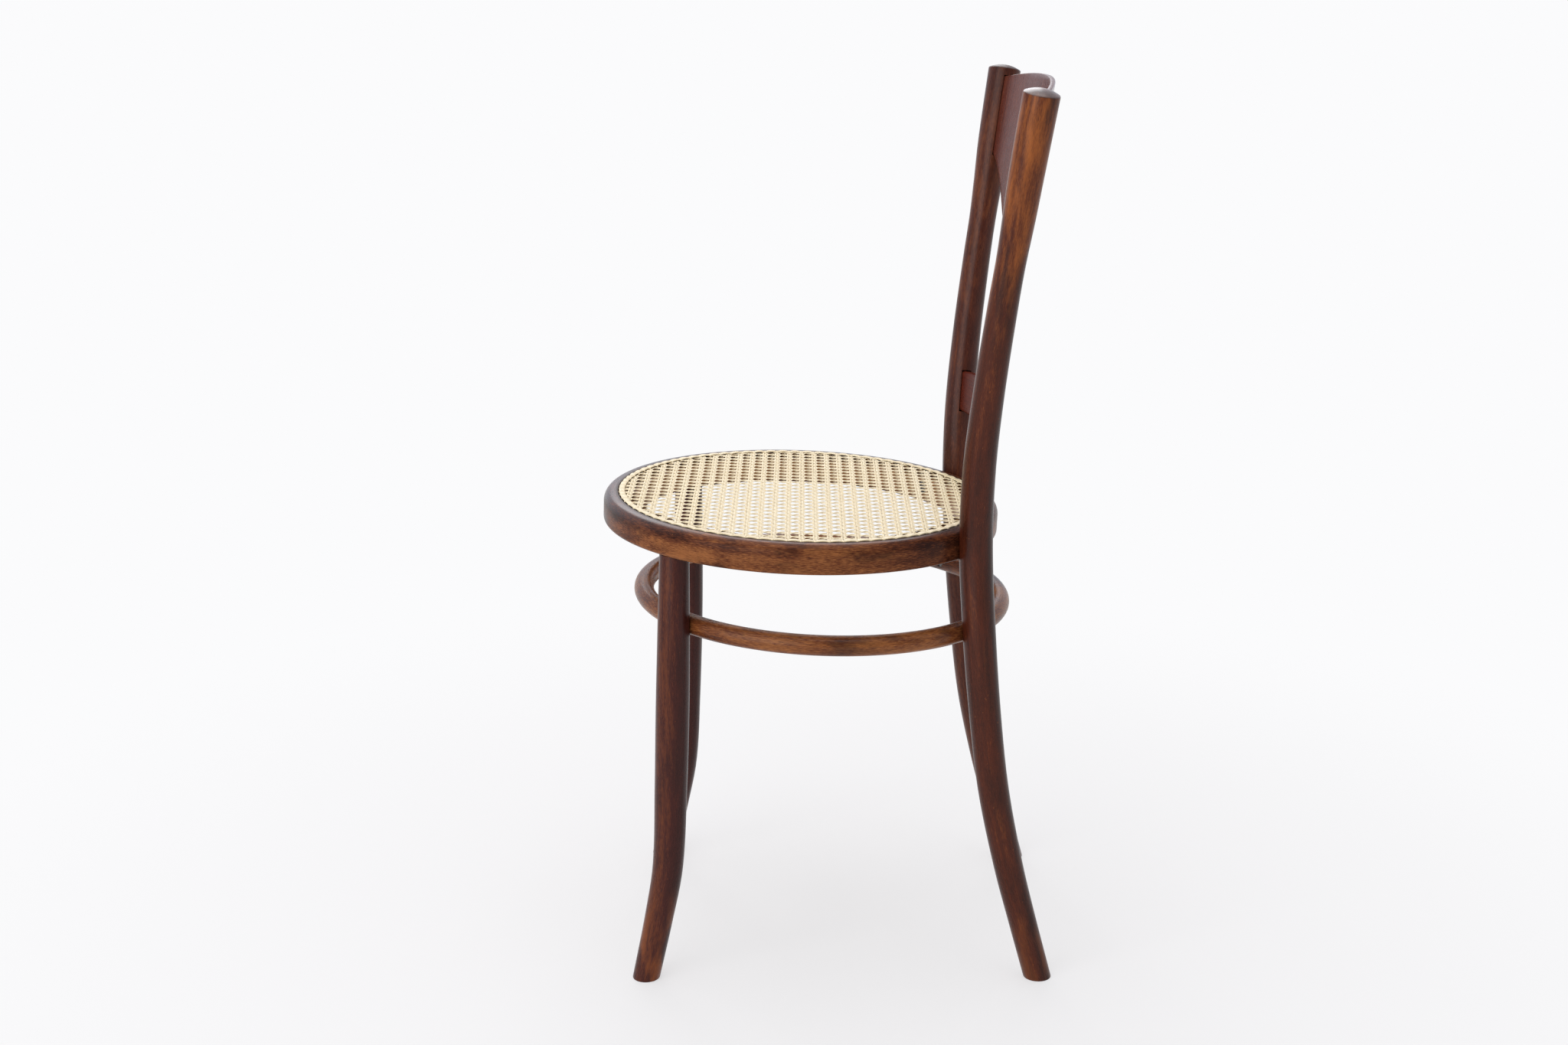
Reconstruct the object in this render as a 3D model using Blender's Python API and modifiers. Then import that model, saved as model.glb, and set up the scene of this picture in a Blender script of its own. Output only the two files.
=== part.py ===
"""A bentwood chair: a round caned seat on four bent legs, a leg hoop, and a bowed back between two posts.

Metres, +Z up. The chair faces -Y, and the sitter's left is +X. The origin is on the floor, in the middle of
the chair's outline seen from above.
"""

import math

import bmesh
import bpy
from mathutils import Matrix, Vector

# Clearance between two pieces that touch
FIT_GAP = 0.0003

# Points nearer than this are one point, and edges sharper than this stay crisp
WELD = 0.000001
TURNED_WELD = 0.00001
CRISP_ANGLE = math.radians(40)

# Whole chair
CHAIR_HEIGHT = 0.880
SEAT_HEIGHT = 0.463
SEAT_TILT = math.radians(2.0)

# Seat ring, a bent hoop of rounded section
SEAT_RADIUS = 0.200
RING_WIDTH = 0.038
RING_DEPTH = 0.029
RING_TOP_ROUND = 0.010
RING_LOWER_ROUND = 0.004
RING_INNER_ROUND = 0.003
RING_STEPS = 64

# Cane seat: an open net on the ring, with a binder strip over its edge
CANE_THICKNESS = 0.0016
CANE_PITCH = 0.019
CANE_GAP = 0.0115
CANE_INSET = 0.017
CANE_BORDER = 0.002
BINDER_INSET = 0.016
BINDER_WIDTH = 0.006
BINDER_THICKNESS = 0.0016

# Rear posts: where they meet the ring, and how deep the ring is let in
POST_ANGLE = math.radians(52.5)
POST_NOTCH = 0.004
POST_SEAT_DIAMETER = 0.0325
POST_STEPS = 30

# Domed tops of the posts: their height, the angles from the middle that have an edge, and a power that
# swells the dome to a squarer shoulder
POST_DOME = 0.0065
DOME_ANGLES = (65, 45, 28, 14, 5)
DOME_SWELL = 0.6

# Post bends. Each knot has a share of the height between floor and seat joint, or seat joint and top,
# then how far outwards and backwards of the seat joint it lies, and the post's diameter there.
POST_BELOW_SEAT = (
    (0.00, 0.0195, 0.0700, 0.0268),
    (0.14, 0.0185, 0.0530, 0.0275),
    (0.27, 0.0170, 0.0380, 0.0288),
    (0.45, 0.0145, 0.0215, 0.0303),
    (0.63, 0.0110, 0.0115, 0.0312),
    (0.81, 0.0070, 0.0045, 0.0322),
)
POST_ABOVE_SEAT = (
    (0.18, 0.0060, 0.0010, 0.0315),
    (0.36, 0.0180, 0.0075, 0.0297),
    (0.55, 0.0285, 0.0175, 0.0284),
    (0.64, 0.0335, 0.0230, 0.0280),
    (0.73, 0.0390, 0.0285, 0.0303),
    (0.82, 0.0445, 0.0335, 0.0325),
    (1.00, 0.0555, 0.0450, 0.0340),
)

# Front legs: where they meet the ring, and the round tenon that enters it
LEG_ANGLE = math.radians(-41.5)
LEG_INSET = 0.0165
LEG_TOP_DIAMETER = 0.029
LEG_STEPS = 20
TENON_DIAMETER = 0.018
TENON_LENGTH = 0.018

# Leg bends: a share of the leg's height, then how far outwards and forwards of its top, and its diameter
LEG_BEND = (
    (0.00, 0.0165, 0.0330, 0.0268),
    (0.14, 0.0135, 0.0200, 0.0283),
    (0.27, 0.0105, 0.0100, 0.0303),
    (0.46, 0.0085, 0.0060, 0.0322),
    (0.64, 0.0070, 0.0035, 0.0330),
    (0.82, 0.0055, 0.0015, 0.0315),
)

# Sides of a round post or leg, how far it is made too long, and how deep the cut is that trims it
ROD_SIDES = 16
TRIM = 0.020
TRIM_CUT = 0.060

# Leg hoop, let into the inner sides of all four legs
HOOP_DROP = 0.103
HOOP_DIAMETER = 0.020
HOOP_NOTCH = 0.005
HOOP_STEPS = 60
HOOP_SIDES = 12
HOOP_FIT_ROUNDS = 40

# Crest panel, bowed, with its ends in grooves in the posts
CREST_THICKNESS = 0.005
CREST_BOW = 0.026
CREST_BELOW_TOP = 0.012
CREST_END_HEIGHT = 0.076
CREST_ARCH = 0.012
CREST_BELLY = 0.074
CREST_SAG = 0.012
CREST_SHOULDER = 0.100
CREST_GROOVE = 0.008
CREST_COLUMNS = 28
CREST_ROWS = 5

# Back rail, bowed, with its ends in mortises in the posts
RAIL_THICKNESS = 0.008
RAIL_BOW = 0.022
RAIL_ABOVE_SEAT = 0.060
RAIL_END_HEIGHT = 0.040
RAIL_ARCH = 0.009
RAIL_MORTISE = 0.010
RAIL_COLUMNS = 20
RAIL_ROWS = 2

# Round-headed screw with a washer, from inside the ring into each post
POST_SCREW_LENGTH = 0.055
POST_SCREW_RADIUS = 0.0025
POST_SCREW_HEAD_RADIUS = 0.0048
POST_SCREW_HEAD_HEIGHT = 0.0034
WASHER_RADIUS = 0.0070
WASHER_THICKNESS = 0.0012
WASHER_RECESS = 0.0018

# Countersunk screw from inside the hoop into each leg
HOOP_SCREW_LENGTH = 0.036
HOOP_SCREW_RADIUS = 0.0019
HOOP_SCREW_HEAD_RADIUS = 0.0040
HOOP_SCREW_HEAD_EDGE = 0.0006
HOOP_SCREW_HEAD_HEIGHT = 0.0028
HOOP_SCREW_SINK = 0.0012

# All screws: a pointed tip, the sides of their turned shape, and how far a drilling runs out behind the head
SCREW_TIP = 0.006
SCREW_SIDES = 12
SCREW_DOME_ANGLES = (0, 30, 60, 90)
DRILL_RUNOUT = 0.012

# Worked-out places
RING_INNER_RADIUS = SEAT_RADIUS - RING_WIDTH
HOOP_HEIGHT = SEAT_HEIGHT - HOOP_DROP
CREST_END_TOP = CHAIR_HEIGHT - CREST_BELOW_TOP
CREST_END_FOOT = CREST_END_TOP - CREST_END_HEIGHT
RAIL_FOOT = SEAT_HEIGHT + RAIL_ABOVE_SEAT
RAIL_END_TOP = RAIL_FOOT + RAIL_END_HEIGHT
SIDES = {"left": 1, "right": -1}

# Finishes: colour, roughness and metallic value
STAINED_BEECH = ((0.075, 0.028, 0.015), 0.42, 0.0)
AMBER_BEECH = ((0.125, 0.052, 0.022), 0.42, 0.0)
STAINED_PLY = ((0.110, 0.042, 0.032), 0.45, 0.0)
RATTAN = ((0.760, 0.610, 0.330), 0.55, 0.0)
STEEL = ((0.420, 0.410, 0.390), 0.40, 1.0)

for old in list(bpy.data.objects):
    bpy.data.objects.remove(old, do_unlink=True)

chair = bpy.data.collections.new("bentwood_chair")
cutters = bpy.data.collections.new("bentwood_chair_cutters")
bpy.context.scene.collection.children.link(chair)
bpy.context.scene.collection.children.link(cutters)


# Bends and sections

def knot_slope(knots, index, value):
    """How fast one value of a bend changes with height at a knot."""
    below = knots[max(index - 1, 0)]
    above = knots[min(index + 1, len(knots) - 1)]
    return (above[value] - below[value]) / (above[0] - below[0])


def bend_at(knots, height):
    """x, y and diameter of a bent rod at a height, on the smooth curve through its knots."""
    passed = sum(knot[0] <= height for knot in knots)
    index = min(max(passed - 1, 0), len(knots) - 2)
    low = knots[index]
    high = knots[index + 1]
    span = high[0] - low[0]
    t = (height - low[0]) / span
    found = []
    for value in (1, 2, 3):
        low_slope = knot_slope(knots, index, value)
        high_slope = knot_slope(knots, index + 1, value)
        if t < 0:
            found.append(low[value] + low_slope * (height - low[0]))
        elif t > 1:
            found.append(high[value] + high_slope * (height - high[0]))
        else:
            blend = t * t * (3 - 2 * t)
            lead_in = t * (1 - t) ** 2 * span * low_slope
            lead_out = t * t * (t - 1) * span * high_slope
            found.append(low[value] * (1 - blend) + high[value] * blend + lead_in + lead_out)
    return found


def seat_fall(y):
    """How far the tilted seat lies below its centre at a distance behind it."""
    return y * math.tan(SEAT_TILT)


def post_knots():
    """Knots of height, x, y and diameter for the post on the sitter's left."""
    reach = SEAT_RADIUS + POST_SEAT_DIAMETER / 2 - POST_NOTCH
    x = reach * math.cos(POST_ANGLE)
    y = reach * math.sin(POST_ANGLE)
    joint = SEAT_HEIGHT - seat_fall(y) - RING_DEPTH / 2
    knots = []
    for share, out, back, diameter in POST_BELOW_SEAT:
        knots.append((share * joint, x + out, y + back, diameter))
    knots.append((joint, x, y, POST_SEAT_DIAMETER))
    for share, out, back, diameter in POST_ABOVE_SEAT:
        knots.append((joint + share * (CHAIR_HEIGHT - joint), x + out, y + back, diameter))
    return knots


def leg_knots():
    """Knots of height, x, y and diameter for the front leg on the sitter's left."""
    reach = SEAT_RADIUS - LEG_INSET
    x = reach * math.cos(LEG_ANGLE)
    y = reach * math.sin(LEG_ANGLE)
    top = SEAT_HEIGHT - seat_fall(y) - RING_DEPTH
    knots = []
    for share, out, forward, diameter in LEG_BEND:
        knots.append((share * top, x + out, y - forward, diameter))
    knots.append((top, x, y, LEG_TOP_DIAMETER))
    return knots


POST = post_knots()
LEG = leg_knots()


def hoop_fit():
    """The y of the hoop's centre and its outer radius, so that it enters all four legs equally deep."""
    leg_x, leg_y, leg_diameter = bend_at(LEG, HOOP_HEIGHT)
    post_x, post_y, post_diameter = bend_at(POST, HOOP_HEIGHT)

    def reaches(centre):
        to_leg = math.hypot(leg_x, leg_y - centre) - leg_diameter / 2 + HOOP_NOTCH
        to_post = math.hypot(post_x, post_y - centre) - post_diameter / 2 + HOOP_NOTCH
        return to_leg, to_post

    front = leg_y
    rear = post_y
    for _ in range(HOOP_FIT_ROUNDS):
        centre = (front + rear) / 2
        to_leg, to_post = reaches(centre)
        if to_leg < to_post:
            front = centre
        else:
            rear = centre
    return centre, to_leg


HOOP_Y, HOOP_OUTER_RADIUS = hoop_fit()
HOOP_RADIUS = HOOP_OUTER_RADIUS - HOOP_DIAMETER / 2


def rounded_section(corners, segments=3):
    """Points of a four-sided section with each corner (x, z, radius) rounded, kept in the corners' order."""
    points = []
    for index, (x, z, radius) in enumerate(corners):
        corner = Vector((x, z))
        before = Vector(corners[index - 1][:2])
        after = Vector(corners[(index + 1) % len(corners)][:2])
        to_before = (before - corner).normalized()
        to_after = (after - corner).normalized()
        middle = corner + (to_before + to_after) * radius
        for step in range(segments + 1):
            turn = math.radians(90) * step / segments
            points.append(middle - to_after * radius * math.cos(turn) - to_before * radius * math.sin(turn))
    return points


def ring_section(grow=0.0):
    """The seat ring's section, from its outer top edge down and round, made larger by a gap on every side."""
    outer = SEAT_RADIUS + grow
    inner = RING_INNER_RADIUS - grow
    foot = -RING_DEPTH - grow
    return rounded_section([
        (outer, grow, RING_TOP_ROUND + grow),
        (outer, foot, RING_LOWER_ROUND + grow),
        (inner, foot, RING_INNER_ROUND + grow),
        (inner, grow, RING_INNER_ROUND + grow),
    ])


# Ways to make and join solids

def add_object(name, data, parent, collection):
    """Put a mesh or curve into the scene under a parent."""
    made = bpy.data.objects.new(name, data)
    made.parent = parent
    collection.objects.link(made)
    if collection is cutters:
        made.hide_render = True
        made.display_type = "WIRE"
    return made


def add_empty(name, location, tilt=0.0):
    """A frame that carries pieces, tilted back about the sideways axis."""
    empty = add_object(name, None, None, chair)
    empty.location = location
    empty.rotation_euler.x = -tilt
    return empty


def to_mesh(source):
    """Replace a curve object by a welded mesh object of the same name, place and parent."""
    name = source.name
    parent = source.parent
    collection = source.users_collection[0]
    bpy.context.view_layer.update()
    graph = bpy.context.evaluated_depsgraph_get()
    mesh = bpy.data.meshes.new_from_object(source.evaluated_get(graph))
    bpy.data.objects.remove(source)
    bm = bmesh.new()
    bm.from_mesh(mesh)
    bmesh.ops.remove_doubles(bm, verts=bm.verts, dist=WELD)
    bmesh.ops.recalc_face_normals(bm, faces=bm.faces)
    bm.to_mesh(mesh)
    bm.free()
    return add_object(name, mesh, parent, collection)


def turned(name, profile, steps, parent, collection, closed=False):
    """A shape turned about its own Z axis from a profile of (radius, z) points that runs top to bottom."""
    count = len(profile)
    edges = [(index, index + 1) for index in range(count - 1)]
    if closed:
        edges.append((count - 1, 0))
    mesh = bpy.data.meshes.new(name)
    mesh.from_pydata([(radius, 0, z) for radius, z in profile], edges, [])
    made = add_object(name, mesh, parent, collection)
    screw = made.modifiers.new("turn", "SCREW")
    screw.steps = steps
    screw.render_steps = steps
    screw.use_merge_vertices = True
    screw.merge_threshold = TURNED_WELD
    screw.use_smooth_shade = True
    return made


def rod(name, stations, parent):
    """A round bent rod through stations of (centre, radius), closed at both ends."""
    curve = bpy.data.curves.new(name, "CURVE")
    curve.dimensions = "3D"
    curve.bevel_depth = 1.0
    curve.bevel_resolution = ROD_SIDES // 2 - 2
    curve.use_fill_caps = True
    spline = curve.splines.new("POLY")
    spline.points.add(len(stations) - 1)
    for point, (centre, radius) in zip(spline.points, stations):
        point.co = (*centre, 1)
        point.radius = radius
    made = to_mesh(add_object(name, curve, parent, chair))
    made.data.shade_smooth()
    made.data.set_sharp_from_angle(angle=CRISP_ANGLE)
    return made


def box(name, low, high, parent):
    """A box between two corners, to cut with."""
    low = Vector(low)
    high = Vector(high)
    size = Matrix.Diagonal((*(high - low), 1))
    bm = bmesh.new()
    bmesh.ops.create_cube(bm, size=1, matrix=Matrix.Translation((low + high) / 2) @ size)
    mesh = bpy.data.meshes.new(name)
    bm.to_mesh(mesh)
    bm.free()
    return add_object(name, mesh, parent, cutters)


def cylinder(name, radius, foot, top, place, parent):
    """An upright cylinder at a place on its parent, to cut or join with."""
    middle = Vector((place[0], place[1], (foot + top) / 2))
    bm = bmesh.new()
    bmesh.ops.create_cone(bm, cap_ends=True, segments=ROD_SIDES, radius1=radius, radius2=radius,
                          depth=top - foot, matrix=Matrix.Translation(middle))
    mesh = bpy.data.meshes.new(name)
    bm.to_mesh(mesh)
    bm.free()
    return add_object(name, mesh, parent, cutters)


def combine(target, tool, operation="DIFFERENCE"):
    """Cut a tool out of a piece, or join it on."""
    boolean = target.modifiers.new(tool.name, "BOOLEAN")
    boolean.operation = operation
    boolean.object = tool


def aim(piece, head, outward):
    """Set a screw or its drilling with its head at a point and its tip pointing outward."""
    piece.location = head
    piece.rotation_euler = (-outward).to_track_quat("Z", "Y").to_euler()


def finish(piece, look):
    """Give a piece a material of its own."""
    colour, roughness, metallic = look
    material = bpy.data.materials.new(piece.name + "_finish")
    material.use_nodes = True
    shader = material.node_tree.nodes["Principled BSDF"]
    shader.inputs["Base Color"].default_value = (*colour, 1)
    shader.inputs["Roughness"].default_value = roughness
    shader.inputs["Metallic"].default_value = metallic
    material.diffuse_color = (*colour, 1)
    piece.data.materials.append(material)


def rod_stations(knots, foot, top, steps, side):
    """Evenly spaced centres and radii along a bend, on one side of the chair."""
    stations = []
    for step in range(steps + 1):
        height = foot + (top - foot) * step / steps
        x, y, diameter = bend_at(knots, height)
        stations.append((Vector((side * x, y, height)), diameter / 2))
    return stations


# Frames that carry the pieces
floor_frame = add_empty("floor_frame", (0, 0, 0))
seat_frame = add_empty("seat_frame", (0, 0, SEAT_HEIGHT), SEAT_TILT)
hoop_frame = add_empty("hoop_frame", (0, HOOP_Y, HOOP_HEIGHT), SEAT_TILT)
seat_frame.parent = floor_frame
hoop_frame.parent = floor_frame


# The seat

def make_seat_ring():
    """The bent ring that carries the cane, and the slightly larger shape that notches the posts."""
    ring = turned("seat_ring", ring_section(), RING_STEPS, seat_frame, chair, closed=True)
    finish(ring, AMBER_BEECH)
    notcher = turned("ring_notcher", ring_section(FIT_GAP), RING_STEPS, seat_frame, cutters, closed=True)
    return ring, notcher


def add_outline(curve, points):
    """Add a closed straight-sided outline to a flat curve."""
    spline = curve.splines.new("POLY")
    spline.points.add(len(points) - 1)
    for point, (x, y) in zip(spline.points, points):
        point.co = (x, y, 0, 1)
    spline.use_cyclic_u = True


def make_cane_net():
    """The cane as one flat net, its strands crossing at the seat's centre and its border on the ring."""
    curve = bpy.data.curves.new("cane_net", "CURVE")
    curve.dimensions = "2D"
    curve.fill_mode = "BOTH"
    curve.extrude = CANE_THICKNESS / 2
    edge = SEAT_RADIUS - CANE_INSET
    turns = [math.tau * step / RING_STEPS for step in range(RING_STEPS)]
    add_outline(curve, [(edge * math.cos(turn), edge * math.sin(turn)) for turn in turns])
    open_radius = RING_INNER_RADIUS - CANE_BORDER
    half = CANE_GAP / 2
    reach = math.ceil(open_radius / CANE_PITCH)
    gaps = 0
    for column in range(-reach, reach):
        for row in range(-reach, reach):
            x = (column + 0.5) * CANE_PITCH
            y = (row + 0.5) * CANE_PITCH
            if math.hypot(abs(x) + half, abs(y) + half) > open_radius:
                continue
            corners = ((-half, -half), (half, -half), (half, half), (-half, half))
            add_outline(curve, [(x + along, y + across) for along, across in corners])
            gaps += 1
    print("cane net gaps:", gaps)
    net = add_object("cane_net", curve, seat_frame, chair)
    net = to_mesh(net)
    net.location.z = FIT_GAP + CANE_THICKNESS / 2
    finish(net, RATTAN)


def make_cane_binder():
    """The strip of cane that is tied down over the ends of the strands."""
    outer = SEAT_RADIUS - BINDER_INSET
    inner = outer - BINDER_WIDTH
    foot = CANE_THICKNESS + 2 * FIT_GAP
    top = foot + BINDER_THICKNESS
    section = [(outer, top), (outer, foot), (inner, foot), (inner, top)]
    binder = turned("cane_binder", section, RING_STEPS, seat_frame, chair, closed=True)
    finish(binder, RATTAN)


# Posts and legs

def make_post(side_name):
    """One rear post, from the floor to its domed top."""
    side = SIDES[side_name]
    shoulder = CHAIR_HEIGHT - POST_DOME
    stations = rod_stations(POST, -TRIM, shoulder, POST_STEPS, side)
    shoulder_radius = stations[-1][1]
    for angle in DOME_ANGLES:
        turn = math.radians(angle)
        height = shoulder + POST_DOME * math.cos(turn)
        x, y, _ = bend_at(POST, height)
        radius = shoulder_radius * math.sin(turn) ** DOME_SWELL
        stations.append((Vector((side * x, y, height)), radius))
    post = rod("rear_post_" + side_name, stations, floor_frame)
    finish(post, STAINED_BEECH)
    return post


def make_leg(side_name, ring):
    """One front leg with its tenon, and the tenon's socket in the ring."""
    side = SIDES[side_name]
    top = LEG[-1][0]
    leg = rod("front_leg_" + side_name, rod_stations(LEG, -TRIM, top + TRIM, LEG_STEPS, side), floor_frame)
    finish(leg, STAINED_BEECH)
    shoulder = -RING_DEPTH - FIT_GAP
    place = (side * LEG[-1][1], LEG[-1][2] / math.cos(SEAT_TILT))
    wide = 2 * LEG_TOP_DIAMETER
    shoulder_cut = box("leg_shoulder_cut_" + side_name,
                       (place[0] - wide, place[1] - wide, shoulder),
                       (place[0] + wide, place[1] + wide, shoulder + TRIM_CUT), seat_frame)
    combine(leg, shoulder_cut)
    tenon = cylinder("leg_tenon_" + side_name, TENON_DIAMETER / 2,
                     shoulder - TENON_DIAMETER / 2, -RING_DEPTH + TENON_LENGTH, place, seat_frame)
    combine(leg, tenon, "UNION")
    socket = cylinder("leg_socket_" + side_name, TENON_DIAMETER / 2 + FIT_GAP,
                      -RING_DEPTH - TENON_DIAMETER, -RING_DEPTH + TENON_LENGTH + FIT_GAP, place, seat_frame)
    combine(ring, socket)
    return leg


def make_hoop():
    """The round hoop that ties the legs, and the slightly larger hoop that notches them."""
    made = []
    for name, grow, collection in (("leg_hoop", 0.0, chair), ("hoop_notcher", FIT_GAP, cutters)):
        radius = HOOP_DIAMETER / 2 + grow
        turns = [-math.tau * step / HOOP_SIDES for step in range(HOOP_SIDES)]
        section = [(HOOP_RADIUS + radius * math.cos(turn), radius * math.sin(turn)) for turn in turns]
        made.append(turned(name, section, HOOP_STEPS, hoop_frame, collection, closed=True))
    finish(made[0], AMBER_BEECH)
    return made


# The back

def crest_foot(share):
    """Height of the crest panel's lower edge at a share of its half span: it swells down to the middle."""
    half_span = bend_at(POST, CREST_END_FOOT)[0]
    t = min((1 - share) * half_span / CREST_SHOULDER, 1)
    sag = CREST_SAG * (1 - share * share)
    return CREST_END_FOOT - CREST_BELLY * t * t * (3 - 2 * t) - sag


def crest_top(share):
    """Height of the crest panel's arched upper edge at a share of its half span."""
    return CREST_END_TOP + CREST_ARCH * (1 - share * share)


def rail_foot(_share):
    """Height of the back rail's straight lower edge."""
    return RAIL_FOOT


def rail_top(share):
    """Height of the back rail's arched upper edge at a share of its half span."""
    return RAIL_END_TOP + RAIL_ARCH * (1 - share * share)


def bowed_board(name, edges, bow, thickness, let_in, cells, collection, grow=0.0):
    """A thin board bowed backwards between the posts, its ends let into them, larger by a gap if it cuts."""
    foot, top = edges
    bm = bmesh.new()
    bmesh.ops.create_grid(bm, x_segments=cells[0], y_segments=cells[1], size=1)
    for vert in bm.verts:
        across = vert.co.x
        low = foot(abs(across)) - grow
        high = top(abs(across)) + grow
        height = low + (high - low) * (vert.co.y + 1) / 2
        x, y, diameter = bend_at(POST, height)
        half_span = x - diameter / 2 + let_in + grow
        vert.co = (across * half_span, y + bow * (1 - across * across), height)
    bmesh.ops.recalc_face_normals(bm, faces=bm.faces)
    mesh = bpy.data.meshes.new(name)
    bm.to_mesh(mesh)
    bm.free()
    mesh.shade_smooth()
    board = add_object(name, mesh, floor_frame, collection)
    solid = board.modifiers.new("thickness", "SOLIDIFY")
    solid.thickness = thickness + 2 * grow
    solid.offset = 0
    return board


def make_back(posts):
    """The crest panel and the back rail, with a groove and a mortise for each in both posts."""
    boards = (
        ("crest_panel", (crest_foot, crest_top), CREST_BOW, CREST_THICKNESS, CREST_GROOVE,
         (CREST_COLUMNS, CREST_ROWS)),
        ("back_rail", (rail_foot, rail_top), RAIL_BOW, RAIL_THICKNESS, RAIL_MORTISE,
         (RAIL_COLUMNS, RAIL_ROWS)),
    )
    for name, edges, bow, thickness, let_in, cells in boards:
        board = bowed_board(name, edges, bow, thickness, let_in, cells, chair)
        finish(board, STAINED_PLY)
        groover = bowed_board(name + "_groover", edges, bow, thickness, let_in, cells, cutters, FIT_GAP)
        for post in posts.values():
            combine(post, groover)


# Fasteners

def make_post_screw(side_name, post, ring):
    """A screw and washer from the ring's inner wall into a post, and their drilling."""
    joint = POST[len(POST_BELOW_SEAT)]
    outward = Vector((SIDES[side_name] * joint[1], joint[2] / math.cos(SEAT_TILT), 0)).normalized()
    washer_seat = WASHER_THICKNESS + 2 * FIT_GAP
    head = outward * (RING_INNER_RADIUS + WASHER_RECESS - washer_seat)
    head.z = -RING_DEPTH / 2
    tip_start = SCREW_TIP - POST_SCREW_LENGTH
    turns = [math.radians(angle) for angle in SCREW_DOME_ANGLES]
    head_size = (POST_SCREW_HEAD_RADIUS, POST_SCREW_HEAD_HEIGHT)
    dome = [(head_size[0] * math.sin(turn), head_size[1] * math.cos(turn)) for turn in turns]
    shank = [(POST_SCREW_RADIUS, 0), (POST_SCREW_RADIUS, tip_start), (0, -POST_SCREW_LENGTH)]
    screw = turned("post_screw_" + side_name, dome + shank, SCREW_SIDES, seat_frame, chair)
    hole = POST_SCREW_RADIUS + FIT_GAP
    rim = [(WASHER_RADIUS, -FIT_GAP), (WASHER_RADIUS, -FIT_GAP - WASHER_THICKNESS)]
    eye = [(hole, -FIT_GAP - WASHER_THICKNESS), (hole, -FIT_GAP)]
    washer = turned("post_washer_" + side_name, rim + eye, SCREW_SIDES, seat_frame, chair, closed=True)
    recess = WASHER_RADIUS + FIT_GAP
    counterbore = [(0, DRILL_RUNOUT), (recess, DRILL_RUNOUT), (recess, -washer_seat)]
    drill_end = -POST_SCREW_LENGTH - FIT_GAP
    pilot = [(hole, -washer_seat), (hole, drill_end), (0, drill_end)]
    drilling = turned("post_drilling_" + side_name, counterbore + pilot, SCREW_SIDES, seat_frame, cutters)
    for piece in (screw, washer, drilling):
        aim(piece, head, outward)
    for piece in (screw, washer):
        finish(piece, STEEL)
    combine(ring, drilling)
    combine(post, drilling)


def make_hoop_screw(end, side_name, leg, knots, hoop):
    """A countersunk screw from inside the hoop into a leg, and its drilling."""
    x, y, _ = bend_at(knots, HOOP_HEIGHT)
    outward = Vector((SIDES[side_name] * x, y - HOOP_Y, 0)).normalized()
    head = outward * (HOOP_RADIUS - HOOP_DIAMETER / 2 + HOOP_SCREW_SINK)
    name = end + "_" + side_name
    tip_start = SCREW_TIP - HOOP_SCREW_LENGTH
    rim = [(0, 0), (HOOP_SCREW_HEAD_RADIUS, 0), (HOOP_SCREW_HEAD_RADIUS, -HOOP_SCREW_HEAD_EDGE)]
    neck = (HOOP_SCREW_RADIUS, -HOOP_SCREW_HEAD_HEIGHT)
    shank = [neck, (HOOP_SCREW_RADIUS, tip_start), (0, -HOOP_SCREW_LENGTH)]
    screw = turned("hoop_screw_" + name, rim + shank, SCREW_SIDES, hoop_frame, chair)
    finish(screw, STEEL)
    sink = HOOP_SCREW_HEAD_RADIUS + FIT_GAP
    hole = HOOP_SCREW_RADIUS + FIT_GAP
    mouth = [(0, DRILL_RUNOUT), (sink, DRILL_RUNOUT), (sink, -HOOP_SCREW_HEAD_EDGE - FIT_GAP)]
    drill_end = -HOOP_SCREW_LENGTH - FIT_GAP
    pilot = [(hole, -HOOP_SCREW_HEAD_HEIGHT - FIT_GAP), (hole, drill_end), (0, drill_end)]
    drilling = turned("hoop_drilling_" + name, mouth + pilot, SCREW_SIDES, hoop_frame, cutters)
    for piece in (screw, drilling):
        aim(piece, head, outward)
    combine(hoop, drilling)
    combine(leg, drilling)


def centre_on_origin():
    """Move the whole chair so that the middle of its outline stands over the origin."""
    bpy.context.view_layer.update()
    graph = bpy.context.evaluated_depsgraph_get()
    places = []
    for piece in chair.objects:
        if piece.type == "MESH":
            shaped = piece.evaluated_get(graph)
            places += [(shaped.matrix_world @ vert.co).y for vert in shaped.data.vertices]
    floor_frame.location.y = -(min(places) + max(places)) / 2


# Assembly
seat_ring, ring_notcher = make_seat_ring()
make_cane_net()
make_cane_binder()
leg_hoop, hoop_notcher = make_hoop()
floor_reach = SEAT_RADIUS * 2
floor_cut = box("floor_cut", (-floor_reach, -floor_reach, -TRIM_CUT),
                (floor_reach, floor_reach, 0), floor_frame)
rear_posts = {side_name: make_post(side_name) for side_name in SIDES}
front_legs = {side_name: make_leg(side_name, seat_ring) for side_name in SIDES}
for upright in (*rear_posts.values(), *front_legs.values()):
    combine(upright, floor_cut)
    combine(upright, hoop_notcher)
for rear_post in rear_posts.values():
    combine(rear_post, ring_notcher)
make_back(rear_posts)
for side_name in SIDES:
    make_post_screw(side_name, rear_posts[side_name], seat_ring)
    make_hoop_screw("front", side_name, front_legs[side_name], LEG, leg_hoop)
    make_hoop_screw("rear", side_name, rear_posts[side_name], POST, leg_hoop)
centre_on_origin()
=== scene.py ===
"""Looks of a bentwood chair: stained bent rods and rings, a bowed plywood back and a hand-woven cane seat.

Metres, +Z up. The chair faces -Y, and the sitter's left is +X, towards the camera.
"""

import logging
import math
import random
from collections.abc import Callable, Iterator
from contextlib import contextmanager
from dataclasses import dataclass, field, replace
from enum import Enum

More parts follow.
